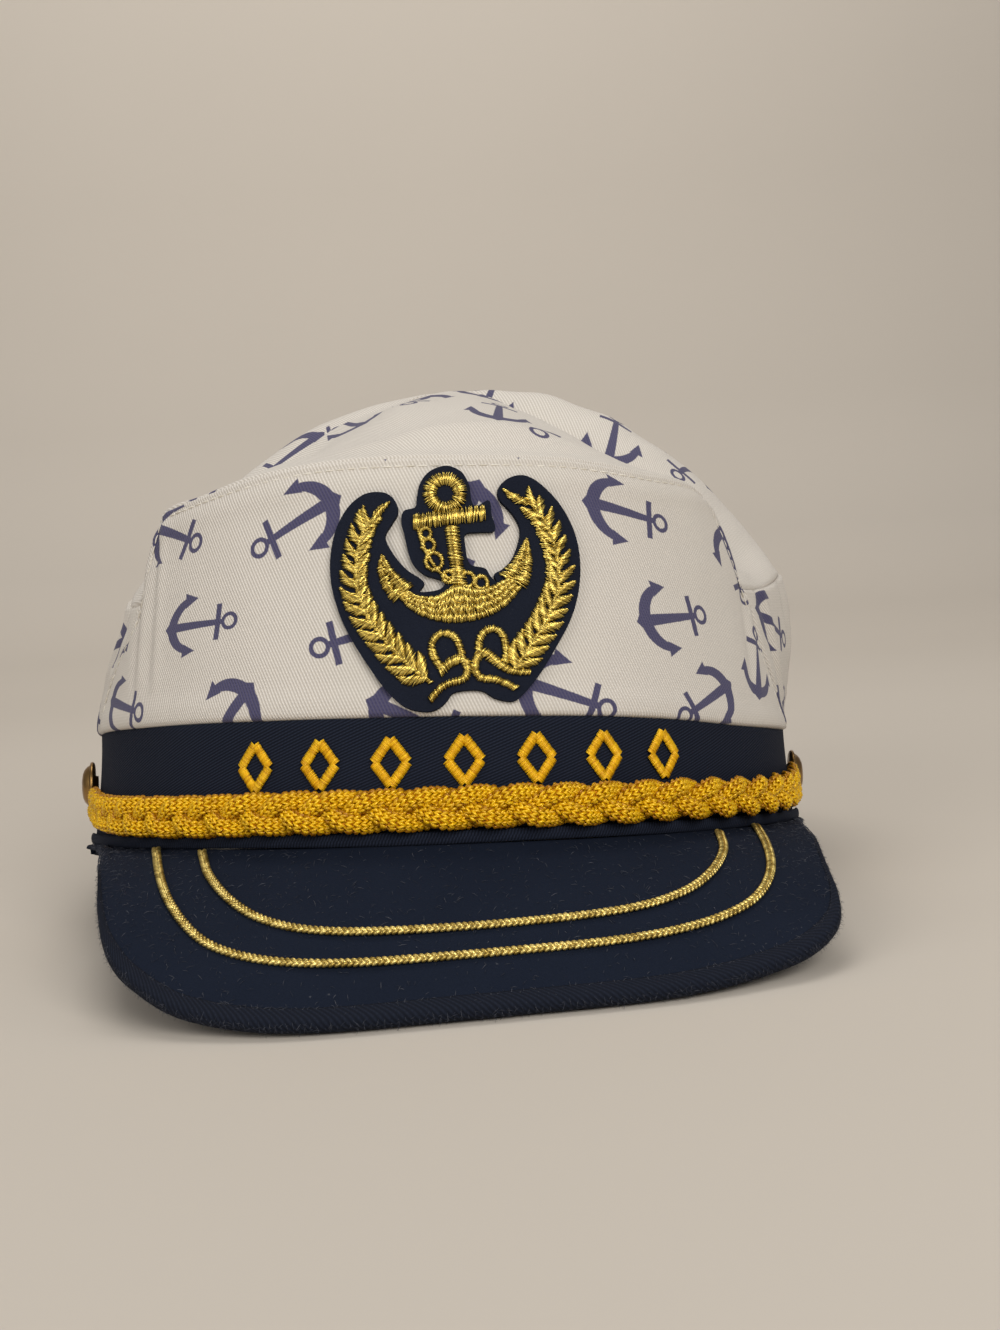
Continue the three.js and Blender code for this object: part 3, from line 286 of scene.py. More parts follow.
def top_seam(place):
    """Where the top is sewn on, from 0 at the front's middle to 1 and -1 at the back's."""
    side, way = np.where(place < 0, -1.0, 1.0), np.abs(place)
    front = front_surface(side * np.minimum(way / CORNER_PLACE, 1), np.ones_like(way))
    down = np.clip((way - CORNER_PLACE) / (JUNCTION_PLACE - CORNER_PLACE), 0, 1)
    edge = front_surface(side, mix(1, JUNCTION_UP, down))
    half = np.clip((way - JUNCTION_PLACE) / (1 - JUNCTION_PLACE), 0, 1) / 2
    back = back_surface(np.where(side > 0, half, 1 - half), np.ones_like(way))
    after_corner = (way > CORNER_PLACE)[..., None]
    after_junction = (way > JUNCTION_PLACE)[..., None]
    return np.where(after_junction, back, np.where(after_corner, edge, front))


def puff_surface(place, way):
    seam = top_seam(place)
    turn = np.degrees(np.arctan2(seam[..., 0], -seam[..., 1]))
    front = 1 - smooth(np.abs(turn), 42, 76)
    back = smooth(np.abs(turn), 105, 155)
    share = front * read(PUFF_PROFILE, "way", "front", way)
    share = share + back * read(PUFF_PROFILE, "way", "back", way)
    share = share + (1 - front - back) * by_side(PUFF_PROFILE, "way", way, turn)
    fold = np.zeros_like(share)
    for index in range(len(PUFF_FOLDS["turn"])):
        row = {name: values[index] for name, values in PUFF_FOLDS.items()}
        aside = (turn - row["turn"] + 180) % 360 - 180
        bump = (aside / row["turn_spread"]) ** 2 + ((way - row["way"]) / row["way_spread"]) ** 2
        fold = fold + row["depth"] * np.exp(-bump)
    points = mix(seam, PUFF_TOP, way[..., None])
    rise = mix(seam[..., 2], PUFF_TOP[2], share)
    points[..., 2] = rise + fold * smooth(way / 0.08) * PUFF_RISE
    return points


def visor_seam(way):
    out = BAND_FLARE + VISOR_SEAM_OUT
    return oval(BAND_HALF_WIDTH + out, BAND_HALF_DEPTH + out, way * VISOR_TURN, -SEAM_GAP)


def visor_edge(way):
    side, size = np.sign(way), np.abs(way)
    out = read(VISOR_EDGE, "way", "out", size)
    x = side * VISOR_HALF_WIDTH * out + VISOR_SHIFT * (1 - size**3)
    y = -BAND_HALF_DEPTH - VISOR_REACH * read(VISOR_EDGE, "way", "forward", size)
    drop = (VISOR_DROP - side * VISOR_TWIST * out) * read(VISOR_EDGE, "way", "drop", size)
    full = np.where(side > 0, VISOR_FULL_RIGHT * np.exp(-((size - 0.46) / 0.13) ** 2),
                    VISOR_FULL_LEFT * np.exp(-((size - 0.62) / 0.20) ** 2))
    x = x + side * full * 0.8
    y = y - full * np.where(side > 0, 0.6, 0.3)
    return np.stack([x, y, -SEAM_GAP - drop], -1)


def visor_surface(way, inward):
    points = mix(visor_edge(way), visor_seam(way), inward[..., None])
    points[..., 2] += VISOR_ARCH * 4 * inward * (1 - inward) * (1 - np.abs(way) ** 4)
    return points


def normals_of(surface, first, second):
    """Outward unit normals of a surface of two parameters that stays defined a little past them."""
    step = 1e-3
    far, near = (np.clip(first + side * step, -1, 1) for side in (1, -1))
    along = surface(far, second) - surface(near, second)
    up = surface(first, np.clip(second + step, 0, 1)) - surface(first, np.clip(second - step, 0, 1))
    return unit(np.cross(along, up))


def grid_normals(points, wraps=False):
    if wraps:
        along = np.roll(points, -1, 0) - np.roll(points, 1, 0)
    else:
        along = np.gradient(points, axis=0)
    return unit(np.cross(along, np.gradient(points, axis=1)))


def lengths(points, axis):
    """Distance run along one axis of a grid of points, from its first row or column."""
    steps = np.linalg.norm(np.diff(points, axis=axis), axis=-1)
    start = np.zeros_like(np.take(steps, [0], axis=axis))
    return np.concatenate([start, np.cumsum(steps, axis=axis)], axis=axis)


def from_middle(run):
    """Distances run along the first axis, counted from its middle."""
    middle = len(run) // 2
    return run - run[middle:middle + 1]


def along_run(places, run, *lines):
    """Each line of points, read at places along its run."""
    return [np.stack([np.interp(places, run, values) for values in line.T], -1) for line in lines]


def mesh_grid(columns, rows):
    return np.meshgrid(columns, rows, indexing="ij")


def closed(points):
    """A ring of points with its first row again at the end."""
    return np.concatenate([points, points[:1]])


def ridge(distance, middle, width):
    """A soft ridge, 1 at its middle."""
    return np.exp(-((distance - middle) / width) ** 2)


# Placing pieces and drawing finishes

rest_turn = Euler((-math.radians(REST_TILT), math.radians(REST_ROLL), 0), "YXZ")
rest_matrix = np.array(rest_turn.to_matrix())


def turned(vectors):
    return vectors @ rest_matrix.T


def placed(points):
    """From the band's frame in millimetres to the row's frame in metres."""
    return (turned(points) + REST_PLACE) / 1000


class Number:
    """A number in a material. Expressions on it add Math nodes."""

    def __init__(self, finish, socket):
        self.finish, self.socket = finish, socket

    def math(self, operation, *others):
        inputs = {index: value for index, value in enumerate((self, *others))}
        return self.finish.node("ShaderNodeMath", {"operation": operation}, inputs)

    def __add__(self, other):
        return self.math("ADD", other)

    def __sub__(self, other):
        return self.math("SUBTRACT", other)

    def __rsub__(self, other):
        return (self * -1) + other

    def __mul__(self, other):
        return self.math("MULTIPLY", other)

    def __truediv__(self, other):
        return self.math("DIVIDE", other)

    __radd__ = __add__
    __rmul__ = __mul__

    def sine(self):
        return self.math("SINE")

    def fraction(self):
        return self.math("FRACT")

    def step(self, start, end):
        """0 below start and 1 above end, or the other way round where start is the larger."""
        settings = {"interpolation_type": "SMOOTHSTEP"}
        low, high = (start, end) if start < end else (end, start)
        share = self.finish.node("ShaderNodeMapRange", settings, {"Value": self, 1: low, 2: high})
        return share if start < end else 1 - share


def least(a, b):
    return a.math("MINIMUM", b) if isinstance(a, Number) else np.minimum(a, b)


def largest(a, b):
    return a.math("MAXIMUM", b) if isinstance(a, Number) else np.maximum(a, b)


def extent(a):
    return a.math("ABSOLUTE") if isinstance(a, Number) else np.abs(a)


def root(a):
    return a.math("SQRT") if isinstance(a, Number) else np.sqrt(a)


class Finish:
    """A material with one shader, and the nodes that feed it."""

    def __init__(self, name, **constants):
        self.material = bpy.data.materials.new(name)
        self.material.use_nodes = True
        self.tree = self.material.node_tree
        self.tree.nodes.clear()
        self.shader = self.tree.nodes.new("ShaderNodeBsdfPrincipled")
        output = self.tree.nodes.new("ShaderNodeOutputMaterial")
        self.tree.links.new(self.shader.outputs[0], output.inputs["Surface"])
        for socket, value in constants.items():
            self.shader.inputs[socket.replace("_", " ")].default_value = value

    def put(self, socket, value):
        if isinstance(value, Number):
            value = value.socket
        if isinstance(value, bpy.types.NodeSocket):
            self.tree.links.new(value, socket)
        else:
            socket.default_value = value

    def node(self, kind, settings=None, sockets=None, output=0):
        node = self.tree.nodes.new(kind)
        for key, value in (settings or {}).items():
            setattr(node, key, value)
        for key, value in (sockets or {}).items():
            self.put(node.inputs[key], value)
        socket = node.outputs[output]
        return Number(self, socket) if socket.type == "VALUE" else socket

    def feed(self, **sockets):
        for name, value in sockets.items():
            self.put(self.shader.inputs[name.replace("_", " ")], value)

    def blend(self, a, b, share):
        return self.node("ShaderNodeMix", {"data_type": "RGBA"}, {0: share, 6: a, 7: b}, 2)

    def cloth(self):
        """Millimetres across and up the cloth, from the piece's own map."""
        place = self.node("ShaderNodeUVMap", {"uv_map": "cloth"})
        parts = self.tree.nodes.new("ShaderNodeSeparateXYZ")
        self.tree.links.new(place, parts.inputs[0])
        return Number(self, parts.outputs[0]), Number(self, parts.outputs[1])

    def place(self):
        return self.node("ShaderNodeTexCoord", None, None, 3)

    def attribute(self, name):
        return self.node("ShaderNodeAttribute", {"attribute_name": name}, None, 2)

    def vector(self, name):
        """The three numbers of a vector attribute."""
        parts = self.tree.nodes.new("ShaderNodeSeparateXYZ")
        source = self.node("ShaderNodeAttribute", {"attribute_name": name}, None, 1)
        self.put(parts.inputs[0], source)
        return [Number(self, socket) for socket in parts.outputs]

    def noise(self, scale, detail=3.0, roughness=0.5, vector=None):
        sockets = {"Vector": vector or self.place(), "Scale": scale, "Detail": detail}
        sockets["Roughness"] = roughness
        return self.node("ShaderNodeTexNoise", None, sockets)

    def bump(self, height, distance, strength=1.0):
        """Height is in millimetres times distance."""
        sockets = {"Height": height, "Distance": distance / 1000, "Strength": strength}
        self.feed(Normal=self.node("ShaderNodeBump", None, sockets))

    def twill(self, turn, pitch, yarn=0.8):
        """Diagonal ribs of a weave: 0 in the grooves to 1 on the ribs, broken into short yarns."""
        u, v = self.cloth()
        ribs = u * (math.cos(turn) / pitch) + v * (math.sin(turn) / pitch)
        along = v * (math.cos(turn) / yarn) - u * (math.sin(turn) / yarn)
        rib = (ribs * (2 * math.pi)).sine() * 0.5 + 0.5
        stepped = ((along + (ribs - ribs.fraction()) * 0.37) * (2 * math.pi)).sine() * 0.5 + 0.5
        return rib * (stepped * 0.35 + 0.65)


def new_piece(name, mesh):
    piece = bpy.data.objects.new(name, mesh)
    bpy.context.scene.collection.objects.link(piece)
    return piece


@contextmanager
def editing(mesh):
    """Opens a mesh for changes and writes it back."""
    work = bmesh.new()
    work.from_mesh(mesh)
    yield work
    work.to_mesh(mesh)
    work.free()


def close_ends(mesh):
    """Caps a mesh where it is open and faces it outward."""
    with editing(mesh) as work:
        rims = [edge for edge in work.edges if edge.is_boundary]
        bmesh.ops.holes_fill(work, edges=rims, sides=0)
        bmesh.ops.recalc_face_normals(work, faces=work.faces)


def set_smooth(mesh, smooth_faces=True):
    mesh.polygons.foreach_set("use_smooth", np.full(len(mesh.polygons), smooth_faces))


def grid_piece(name, points, cloth, finish, wraps=False, pole=False, print_at=None):
    """A sheet through a grid of points in the band's frame, with its map in millimetres.
    The map of a sheet that wraps has one column more than the sheet."""
    columns, rows = points.shape[:2]
    spans = columns if wraps else columns - 1
    flat = placed(points).reshape(-1, 3)
    index = np.arange(columns * rows).reshape(columns, rows)
    if pole:
        flat = np.concatenate([flat, placed(points[:1, -1])])
        index[:, -1] = len(flat) - 1
    a, b = index[:spans], np.roll(index, -1, 0)[:spans]
    quads = np.stack([a[:, :-1], b[:, :-1], b[:, 1:], a[:, 1:]], -1).reshape(-1, 4)
    maps = np.stack([cloth[:spans, :-1], cloth[1:spans + 1, :-1],
                     cloth[1:spans + 1, 1:], cloth[:spans, 1:]], 2).reshape(-1, 4, 2)
    mesh = bpy.data.meshes.new(name)
    if pole:
        tip = quads[:, 2] == quads[:, 3]
        faces = [tuple(quad[:3]) if end else tuple(quad) for quad, end in zip(quads.tolist(), tip)]
        corner_maps = np.concatenate([m[:3] if end else m for m, end in zip(maps, tip)])
        mesh.from_pydata(flat.tolist(), [], faces)
    else:
        mesh.vertices.add(len(flat))
        mesh.vertices.foreach_set("co", flat.ravel())
        mesh.loops.add(quads.size)
        mesh.loops.foreach_set("vertex_index", quads.ravel())
        mesh.polygons.add(len(quads))
        mesh.polygons.foreach_set("loop_start", np.arange(0, quads.size, 4))
        corner_maps = maps.reshape(-1, 2)
    layer = mesh.uv_layers.new(name="cloth")
    layer.data.foreach_set("uv", corner_maps.ravel())
    if print_at is not None:
        values = print_at.reshape(-1, 3)
        if pole:
            values = np.concatenate([values, print_at[:1, -1]])
        layer = mesh.attributes.new("print_place", "FLOAT_VECTOR", "POINT")
        layer.data.foreach_set("vector", values.ravel())
    mesh.materials.append(finish.material)
    mesh.update(calc_edges=True)
    if pole:
        with editing(mesh) as work:
            loose = [vertex for vertex in work.verts if not vertex.link_faces]
            bmesh.ops.delete(work, geom=loose, context="VERTS")
    set_smooth(mesh)
    return new_piece(name, mesh)


def thicken(piece, thickness, inside=None):
    """Gives a sheet its wall, inward from the side that shows."""
    wall = piece.modifiers.new("wall", "SOLIDIFY")
    wall.thickness = thickness / 1000
    wall.offset = -1
    if inside is not None:
        piece.data.materials.append(inside.material)
        wall.material_offset = 1
    settle(piece)
    set_smooth(piece.data)
    return piece


def settle(piece):
    """Turns what a piece's modifiers make into its plain mesh."""
    depsgraph = bpy.context.evaluated_depsgraph_get()
    mesh = bpy.data.meshes.new_from_object(piece.evaluated_get(depsgraph))
    piece.modifiers.clear()
    piece.data = mesh


def copies_tree():
    """Geometry nodes that set one small piece on every point, turned and sized by the point."""
    tree = bpy.data.node_groups.new("set small pieces", "GeometryNodeTree")
    socket = tree.interface.new_socket
    socket(name="Geometry", in_out="INPUT", socket_type="NodeSocketGeometry")
    socket(name="Small piece", in_out="INPUT", socket_type="NodeSocketObject")
    socket(name="Finish", in_out="INPUT", socket_type="NodeSocketMaterial")
    socket(name="Geometry", in_out="OUTPUT", socket_type="NodeSocketGeometry")
    add, link = tree.nodes.new, tree.links.new
    start, end = add("NodeGroupInput"), add("NodeGroupOutput")
    source = add("GeometryNodeObjectInfo")
    turn, size = add("GeometryNodeInputNamedAttribute"), add("GeometryNodeInputNamedAttribute")
    for node, name in ((turn, "turn"), (size, "size")):
        node.data_type = "FLOAT_VECTOR"
        node.inputs["Name"].default_value = name
    rotation = add("FunctionNodeEulerToRotation")
    setter, real = add("GeometryNodeInstanceOnPoints"), add("GeometryNodeRealizeInstances")
    finish = add("GeometryNodeSetMaterial")
    link(start.outputs["Geometry"], setter.inputs["Points"])
    link(start.outputs["Small piece"], source.inputs["Object"])
    link(source.outputs["Geometry"], setter.inputs["Instance"])
    link(turn.outputs["Attribute"], rotation.inputs[0])
    link(rotation.outputs[0], setter.inputs["Rotation"])
    link(size.outputs["Attribute"], setter.inputs["Scale"])
    link(setter.outputs[0], real.inputs[0])
    link(real.outputs[0], finish.inputs["Geometry"])
    link(start.outputs["Finish"], finish.inputs["Material"])
    link(finish.outputs[0], end.inputs[0])
    return tree


COPIES = copies_tree()


def set_copies(name, small, centres, along, normal, sizes, finish, seed, shade=None):
    """Copies of one small piece, its X along and its Z up the normal, with sizes in mm."""
    x = unit(turned(along))
    z = square_to(x, turned(normal))
    y = np.cross(z, x)
    turn = np.stack([np.arctan2(y[:, 2], z[:, 2]), np.arcsin(np.clip(-x[:, 2], -1, 1)),
                     np.arctan2(x[:, 1], x[:, 0])], -1)
    mesh = bpy.data.meshes.new(name)
    mesh.vertices.add(len(centres))
    mesh.vertices.foreach_set("co", placed(centres).ravel())
    chance = np.random.default_rng(seed)
    shade = chance.uniform(0, 1, len(centres)) if shade is None else shade
    for key, kind, values in (("turn", "FLOAT_VECTOR", turn),
                              ("size", "FLOAT_VECTOR", sizes / 1000)):
        mesh.attributes.new(key, kind, "POINT").data.foreach_set("vector", values.ravel())
    mesh.attributes.new("shade", "FLOAT", "POINT").data.foreach_set("value", shade)
    piece = new_piece(name, mesh)
    nodes = piece.modifiers.new("copies", "NODES")
    nodes.node_group = COPIES
    given = {"Small piece": small, "Finish": finish.material}
    for item in COPIES.interface.items_tree:
        if item.name in given:
            nodes[item.identifier] = given[item.name]
    settle(piece)
    set_smooth(piece.data)
    return piece


def small_tube(name, rings, sides, taper, arch):
    """A short thread along X, one long and one thick each way, thinner at its ends and arched."""
    mesh = bpy.data.meshes.new(name)
    places = np.linspace(-0.5, 0.5, rings)
    angles = np.arange(sides) * 2 * math.pi / sides
    radius = 1 - (1 - taper) * (2 * np.abs(places)) ** 4
    height = arch * (1 - (2 * places) ** 2)
    x = np.repeat(places, sides)
    y = np.outer(radius, np.cos(angles)).ravel()
    z = (np.outer(radius, np.sin(angles)) + height[:, None]).ravel()
    faces = []
    for ring in range(rings - 1):
        for side in range(sides):
            here, there = ring * sides + side, ring * sides + (side + 1) % sides
            faces.append((here, there, there + sides, here + sides))
    faces.append(tuple(range(sides))[::-1])
    faces.append(tuple(range((rings - 1) * sides, rings * sides)))
    mesh.from_pydata(np.stack([x, y, z], -1).tolist(), [], faces)
    with editing(mesh) as work:
        bmesh.ops.recalc_face_normals(work, faces=work.faces)
    return new_piece(name, mesh)


def tube_piece(name, centres, first, second, half_first, half_second, finish, sides=16):
    """A closed tube through rings: first and second are unit vectors, the halves its radii."""
    angle = np.arange(sides) * 2 * math.pi / sides
    ring = (first[:, None] * (np.cos(angle)[None] * half_first[:, None])[..., None]
            + second[:, None] * (np.sin(angle)[None] * half_second[:, None])[..., None])
    points = centres[:, None] + ring
    run = lengths(centres[:, None], 0)[:, 0]
    girth = 2 * math.pi * float(np.median(half_first + half_second)) / 2
    around = np.linspace(0, girth, sides + 1)
    cloth = np.stack(np.broadcast_arrays(around[:, None], run[None]), -1)
    piece = grid_piece(name, np.swapaxes(points, 0, 1), cloth, finish, wraps=True)
    close_ends(piece.data)
    set_smooth(piece.data)
    return piece


def press_on_floor(piece):
    """Soft cloth that would pass the floor lies on it."""
    mesh = piece.data
    places = np.empty(len(mesh.vertices) * 3)
    mesh.vertices.foreach_get("co", places)
    places = places.reshape(-1, 3)
    places[:, 2] = np.maximum(places[:, 2], 1e-5)
    mesh.vertices.foreach_set("co", places.ravel())
    mesh.update()


# Finishes

COTTON = (0.79, 0.75, 0.695, 1)
COTTON_GROOVE = (0.54, 0.495, 0.435, 1)
INK = (0.040, 0.038, 0.115, 1)
NAVY = (0.0030, 0.0042, 0.0090, 1)
NAVY_LIGHT = (0.0185, 0.0250, 0.0460, 1)


def wedge(x, y, corners):
    """Distance outside a triangle, with its corners counter-clockwise."""
    sides = []
    for (x0, y0), (x1, y1) in zip(corners, corners[1:] + corners[:1]):
        length = math.hypot(x1 - x0, y1 - y0)
        across, up = (y1 - y0) / length, (x0 - x1) / length
        sides.append(x * across + y * up - (x0 * across + y0 * up))
    return largest(largest(sides[0], sides[1]), sides[2])


def anchor_drawing(x, y):
    """Millimetres outside the printed anchor, below zero inside it: x across it and y up it.
    The same lines work on numbers of a finish and on arrays."""
    side = extent(x)
    ring = extent(root(x * x + (y - 9.3) * (y - 9.3)) - 1.9) - 0.52
    stock = largest(side - 4.9, extent(y - 5.9 + x * 0.03) - 0.78)
    shank = largest(side - 1.05 + y * 0.042, extent(y + 1.2) - 8.8)
    arms = largest(root(x * x + (y + 2.9) * (y + 2.9)) - 8.1,
                   6.7 - root(x * x + (y + 1.0) * (y + 1.0)))
    arms = largest(arms, y + 3.9)
    fluke = wedge(side, y, [(7.4, -0.7), (5.3, -4.8), (9.2, -5.1)])
    crown = wedge(x, y, [(0.0, -12.1), (3.2, -9.6), (-3.2, -9.6)])
    return least(least(least(ring, stock), least(shank, arms)), least(fluke, crown))


def twill_finish(name, dark, light, turn, pitch, depth, printed=False, stain=0.12, sheen=0.0):
    finish = Finish(name, Sheen_Weight=sheen, Sheen_Roughness=0.5, Specular_IOR_Level=0.15)
    ribs = finish.twill(turn, pitch)
    wide = finish.noise(35.0, 3.0)
    colour = finish.blend(dark, light, ribs * (1 - stain) + wide * stain)
    if printed:
        x, y, near = finish.vector("print_place")
        ragged = finish.noise(2600.0, 2.0) * 0.24 - 0.12
        mask = (anchor_drawing(x, y) + ragged).step(0.13, -0.13) * near.step(0.05, 0.6)
        colour = finish.blend(colour, INK, mask * (ribs * 0.08 + 0.90))
    fine = finish.noise(1800.0, 2.0)
    finish.feed(Base_Color=colour, Roughness=0.80 + fine * 0.16)
    finish.bump(ribs * 0.85 + fine * 0.3, depth)
    return finish


crown_cloth = twill_finish("printed_white_twill", COTTON_GROOVE, COTTON, math.radians(24), 0.68,
                           0.13, printed=True, sheen=0.12)
lining_cloth = twill_finish("plain_white_twill", COTTON_GROOVE, COTTON, math.radians(-24), 0.68,
                            0.13)
band_cloth = twill_finish("navy_twill", NAVY, NAVY_LIGHT, math.radians(112), 0.62, 0.12)
binding_cloth = twill_finish("navy_binding_tape", (0.0045, 0.0062, 0.0125, 1),
                             (0.0120, 0.0160, 0.0290, 1), math.radians(38), 0.75, 0.13)


def felt_finish(name, dark, light, lint, bump):
    finish = Finish(name, Specular_IOR_Level=0.10)
    fine, wide = finish.noise(2400.0, 3.0, 0.7), finish.noise(60.0, 4.0)
    colour = finish.blend(dark, light, fine * 0.65 + wide * 0.35)
    specks = finish.noise(900.0, 2.0, 0.6).step(0.70, 0.78) * wide.step(0.45, 0.7) * lint
    finish.feed(Base_Color=finish.blend(colour, (0.09, 0.095, 0.11, 1), specks))
    finish.feed(Roughness=0.86 + fine * 0.1)
    finish.bump(fine + wide * 0.5, bump)
    return finish


visor_felt = felt_finish("brushed_navy_felt", (0.0045, 0.0075, 0.0165, 1),
                         (0.0125, 0.0180, 0.0340, 1), 1.0, 0.26)
patch_felt = felt_finish("badge_felt", (0.0045, 0.0060, 0.0120, 1),
                         (0.0170, 0.0215, 0.0370, 1), 0.3, 0.25)


def thread_finish(name, dark, light, metallic, roughness, gloss=0.4):
    finish = Finish(name, Specular_IOR_Level=gloss)
    shade = finish.attribute("shade")
    grain = finish.noise(3200.0, 2.0)
    finish.feed(Base_Color=finish.blend(dark, light, shade * 0.72 + grain * 0.5 - 0.1))
    finish.feed(Metallic=metallic, Roughness=roughness + grain * 0.16)
    finish.bump(grain, 0.05)
    return finish


gold_thread = thread_finish("gold_metal_thread", (0.20, 0.115, 0.008, 1),
                            (1.0, 0.80, 0.22, 1), 0.93, 0.15)
chain_thread = thread_finish("gold_chain_cord", (0.22, 0.135, 0.014, 1),
                             (0.88, 0.70, 0.24, 1), 0.8, 0.22)
yellow_thread = thread_finish("yellow_satin_thread", (0.62, 0.30, 0.001, 1),
                              (1.0, 0.64, 0.010, 1), 0.2, 0.26)
knit_thread = thread_finish("yellow_knitting_yarn", (0.32, 0.10, 0.001, 1),
                            (1.0, 0.62, 0.008, 1), 0.18, 0.17)
white_thread = thread_finish("white_sewing_thread", (0.62, 0.57, 0.48, 1),
                             (0.84, 0.80, 0.72, 1), 0.0, 0.5, 0.25)
lint_thread = thread_finish("pale_lint", (0.016, 0.020, 0.034, 1),
                            (0.15, 0.155, 0.18, 1), 0.0, 0.7, 0.1)

# The cord's core shows only in the gaps between the knit loops, so its colour is painted darker
# than the yarn as shade between the loops; its chevron stitch pattern is painted darker still in
# the grooves as painted groove shade
braid_knit = Finish("yellow_cord_core", Specular_IOR_Level=0.25)
knit_u, knit_v = braid_knit.cloth()
wale = extent((knit_u / 1.35).fraction() - 0.5)
chevron = ((knit_v / 1.15 - wale * 1.5) * (2 * math.pi)).sine() * 0.5 + 0.5
knit_grain = braid_knit.noise(2500.0, 2.0)
braid_knit.feed(Base_Color=braid_knit.blend((0.34, 0.11, 0.001, 1), (0.78, 0.32, 0.002, 1),
                                            chevron * 0.75 + knit_grain * 0.3))
braid_knit.feed(Roughness=0.42 + knit_grain * 0.18)
braid_knit.bump(chevron + knit_grain * 0.12, 0.35)

button_brass = Finish("domed_brass", Metallic=1.0)
tarnish = button_brass.noise(160.0, 5.0)
button_brass.feed(Base_Color=button_brass.blend((0.13, 0.065, 0.02, 1), (0.46, 0.28, 0.10, 1),
                                                tarnish))
button_brass.feed(Roughness=0.18 + tarnish * 0.28)
button_brass.bump(tarnish, 0.05)

# Printed anchors

# Middle of each printed anchor on the cloth's own map in millimetres, and its turn from upright
FRONT_ANCHORS = [
    (-35.0, 43.9, -113), (-61.1, 25.3, 95), (-70.6, 51.6, 122), (-92.5, 5.6, 102),
    (-53.3, -0.5, -137), (-20.5, 17.6, -104), (-8.6, -1.0, 113), (22.2, 4.3, 107),
    (40.3, 49.1, 89), (51.9, 26.0, 74), (60.2, 5.8, -121), (1.2, 39.6, -159),
    (-97.0, 34.0, 40), (86.0, 20.0, 10), (79.0, 47.0, 150), (14.0, 67.0, 60), (-14.0, 66.0, -60),
]
BACK_ANCHORS = [(14.8, 32.1, 112), (9.9, 8.9, 66)]
TOP_ANCHORS = [
    (9.4, -41.0, 6), (8.8, -9.0, 14), (43.7, -23.9, 4), (38.0, -2.0, -116), (16.5, -79.0, -171),
    (66.5, -21.0, -162), (-11.2, -24.4, -162), (-30.5, -28.2, -22), (-48.7, -23.5, -116),
]


def scattered(anchors, low, high, spacing, seed):
    """The given anchors, and others strewn evenly over the rest of a cloth's map."""
    chance = np.random.default_rng(seed)
    places = [list(anchor) for anchor in anchors]
    for row, v in enumerate(np.arange(low[1], high[1] + spacing, spacing * 0.9)):
        for u in np.arange(low[0], high[0] + spacing, spacing * 1.08):
            shift = chance.uniform(-0.14, 0.14, 2) * spacing
            place = (u + (row % 2) * spacing * 0.54 + shift[0], v + shift[1])
            turn = chance.uniform(-180, 180)
            if all(math.hypot(place[0] - x, place[1] - y) > 0.84 * spacing for x, y, _ in places):
                places.append([*place, turn])
    return places


def print_places(cloth, anchors):
    """Each point's place in the drawing of the nearest anchor, and 1 on or beside that anchor."""
    places, nearest = np.zeros(cloth.shape[:-1] + (3,)), np.full(cloth.shape[:-1], 6.0)
    for u, v, turn in anchors:
        angle = math.radians(turn)
        away_u, away_v = cloth[..., 0] - u, cloth[..., 1] - v
        x = away_u * math.cos(angle) - away_v * math.sin(angle)
        y = away_u * math.sin(angle) + away_v * math.cos(angle)
        distance = anchor_drawing(x, y)
        closer = distance < nearest
        near = np.clip((2.0 - distance) / 0.8, 0, 1)
        places[closer] = np.stack([x, y, near], -1)[closer]
        nearest = np.minimum(nearest, distance)
    return places


# Crown

def folded_edge(distance, radius):
    """How far a folded edge falls away at a distance from it."""
    inside = np.clip(radius - distance, 0, radius)
    return radius - np.sqrt(np.maximum(radius**2 - inside**2, 0))


def finer_edge(margin, fine, coarse, both=False):
    """Places from 0 to 1, close together up to a margin from 0, or from both ends."""
    end = 1 - margin if both else 1
    places = [np.linspace(0, margin, fine)[:-1], np.linspace(margin, end, coarse)]
    if both:
        places.append(np.linspace(end, 1, fine)[1:])
    return np.concatenate(places)


def hem(from_foot):
    """The turned-in foot of a panel, which swells above the band."""
    return 0.30 * ridge(from_foot, 3.5, 2.5) - folded_edge(from_foot, 1.5)


def creases(run, height, rows, lean, fade):
    """Creases up a panel. A row is a crease's place, half width and depth."""
    relief = np.zeros(run.shape)
    for place, width, depth in rows:
        relief += depth * ridge(run, place + lean, width) * smooth(height, *fade)
    return relief


def waves(points, scale, seed):
    """Soft unevenness between -1 and 1 from a few crossing waves."""
    chance = np.random.default_rng(seed)
    value = np.zeros(points.shape[:-1])
    for _ in range(7):
        way = chance.normal(size=3)
        way = way / np.linalg.norm(way) * chance.uniform(0.6, 1.6) * 2 * math.pi / scale
        value += np.sin(points @ way + chance.uniform(0, 2 * math.pi))
    return value / 4


def crown_piece(name, points, normals, relief, cloth, anchors, round_top=False):
    """A panel of the crown on a grid of points, raised by a relief, with anchors printed on it."""
    piece = grid_piece(name, points + normals * relief[..., None],
                       closed(cloth) if round_top else cloth, crown_cloth, wraps=round_top,
                       pole=round_top, print_at=print_places(cloth, anchors))
    return thicken(piece, CLOTH_THICKNESS - 0.2, lining_cloth)


# Creases up the panels: place along the panel's run, half width and depth
FRONT_CREASES = [(-87, 1.3, -0.55), (-84, 1.6, 0.45), (-79.5, 1.2, -0.5), (-76.5, 1.8, 0.4),
                 (82, 1.6, -0.4), (86, 1.8, 0.35)]
BACK_RIGHT_CREASES = [(9, 1.4, -0.8), (12.5, 1.8, 0.7), (31, 2.2, -0.6)]
BACK_LEFT_CREASES = [(-9, 1.6, -0.7), (-13, 1.8, 0.5), (-30, 2.4, -0.6)]

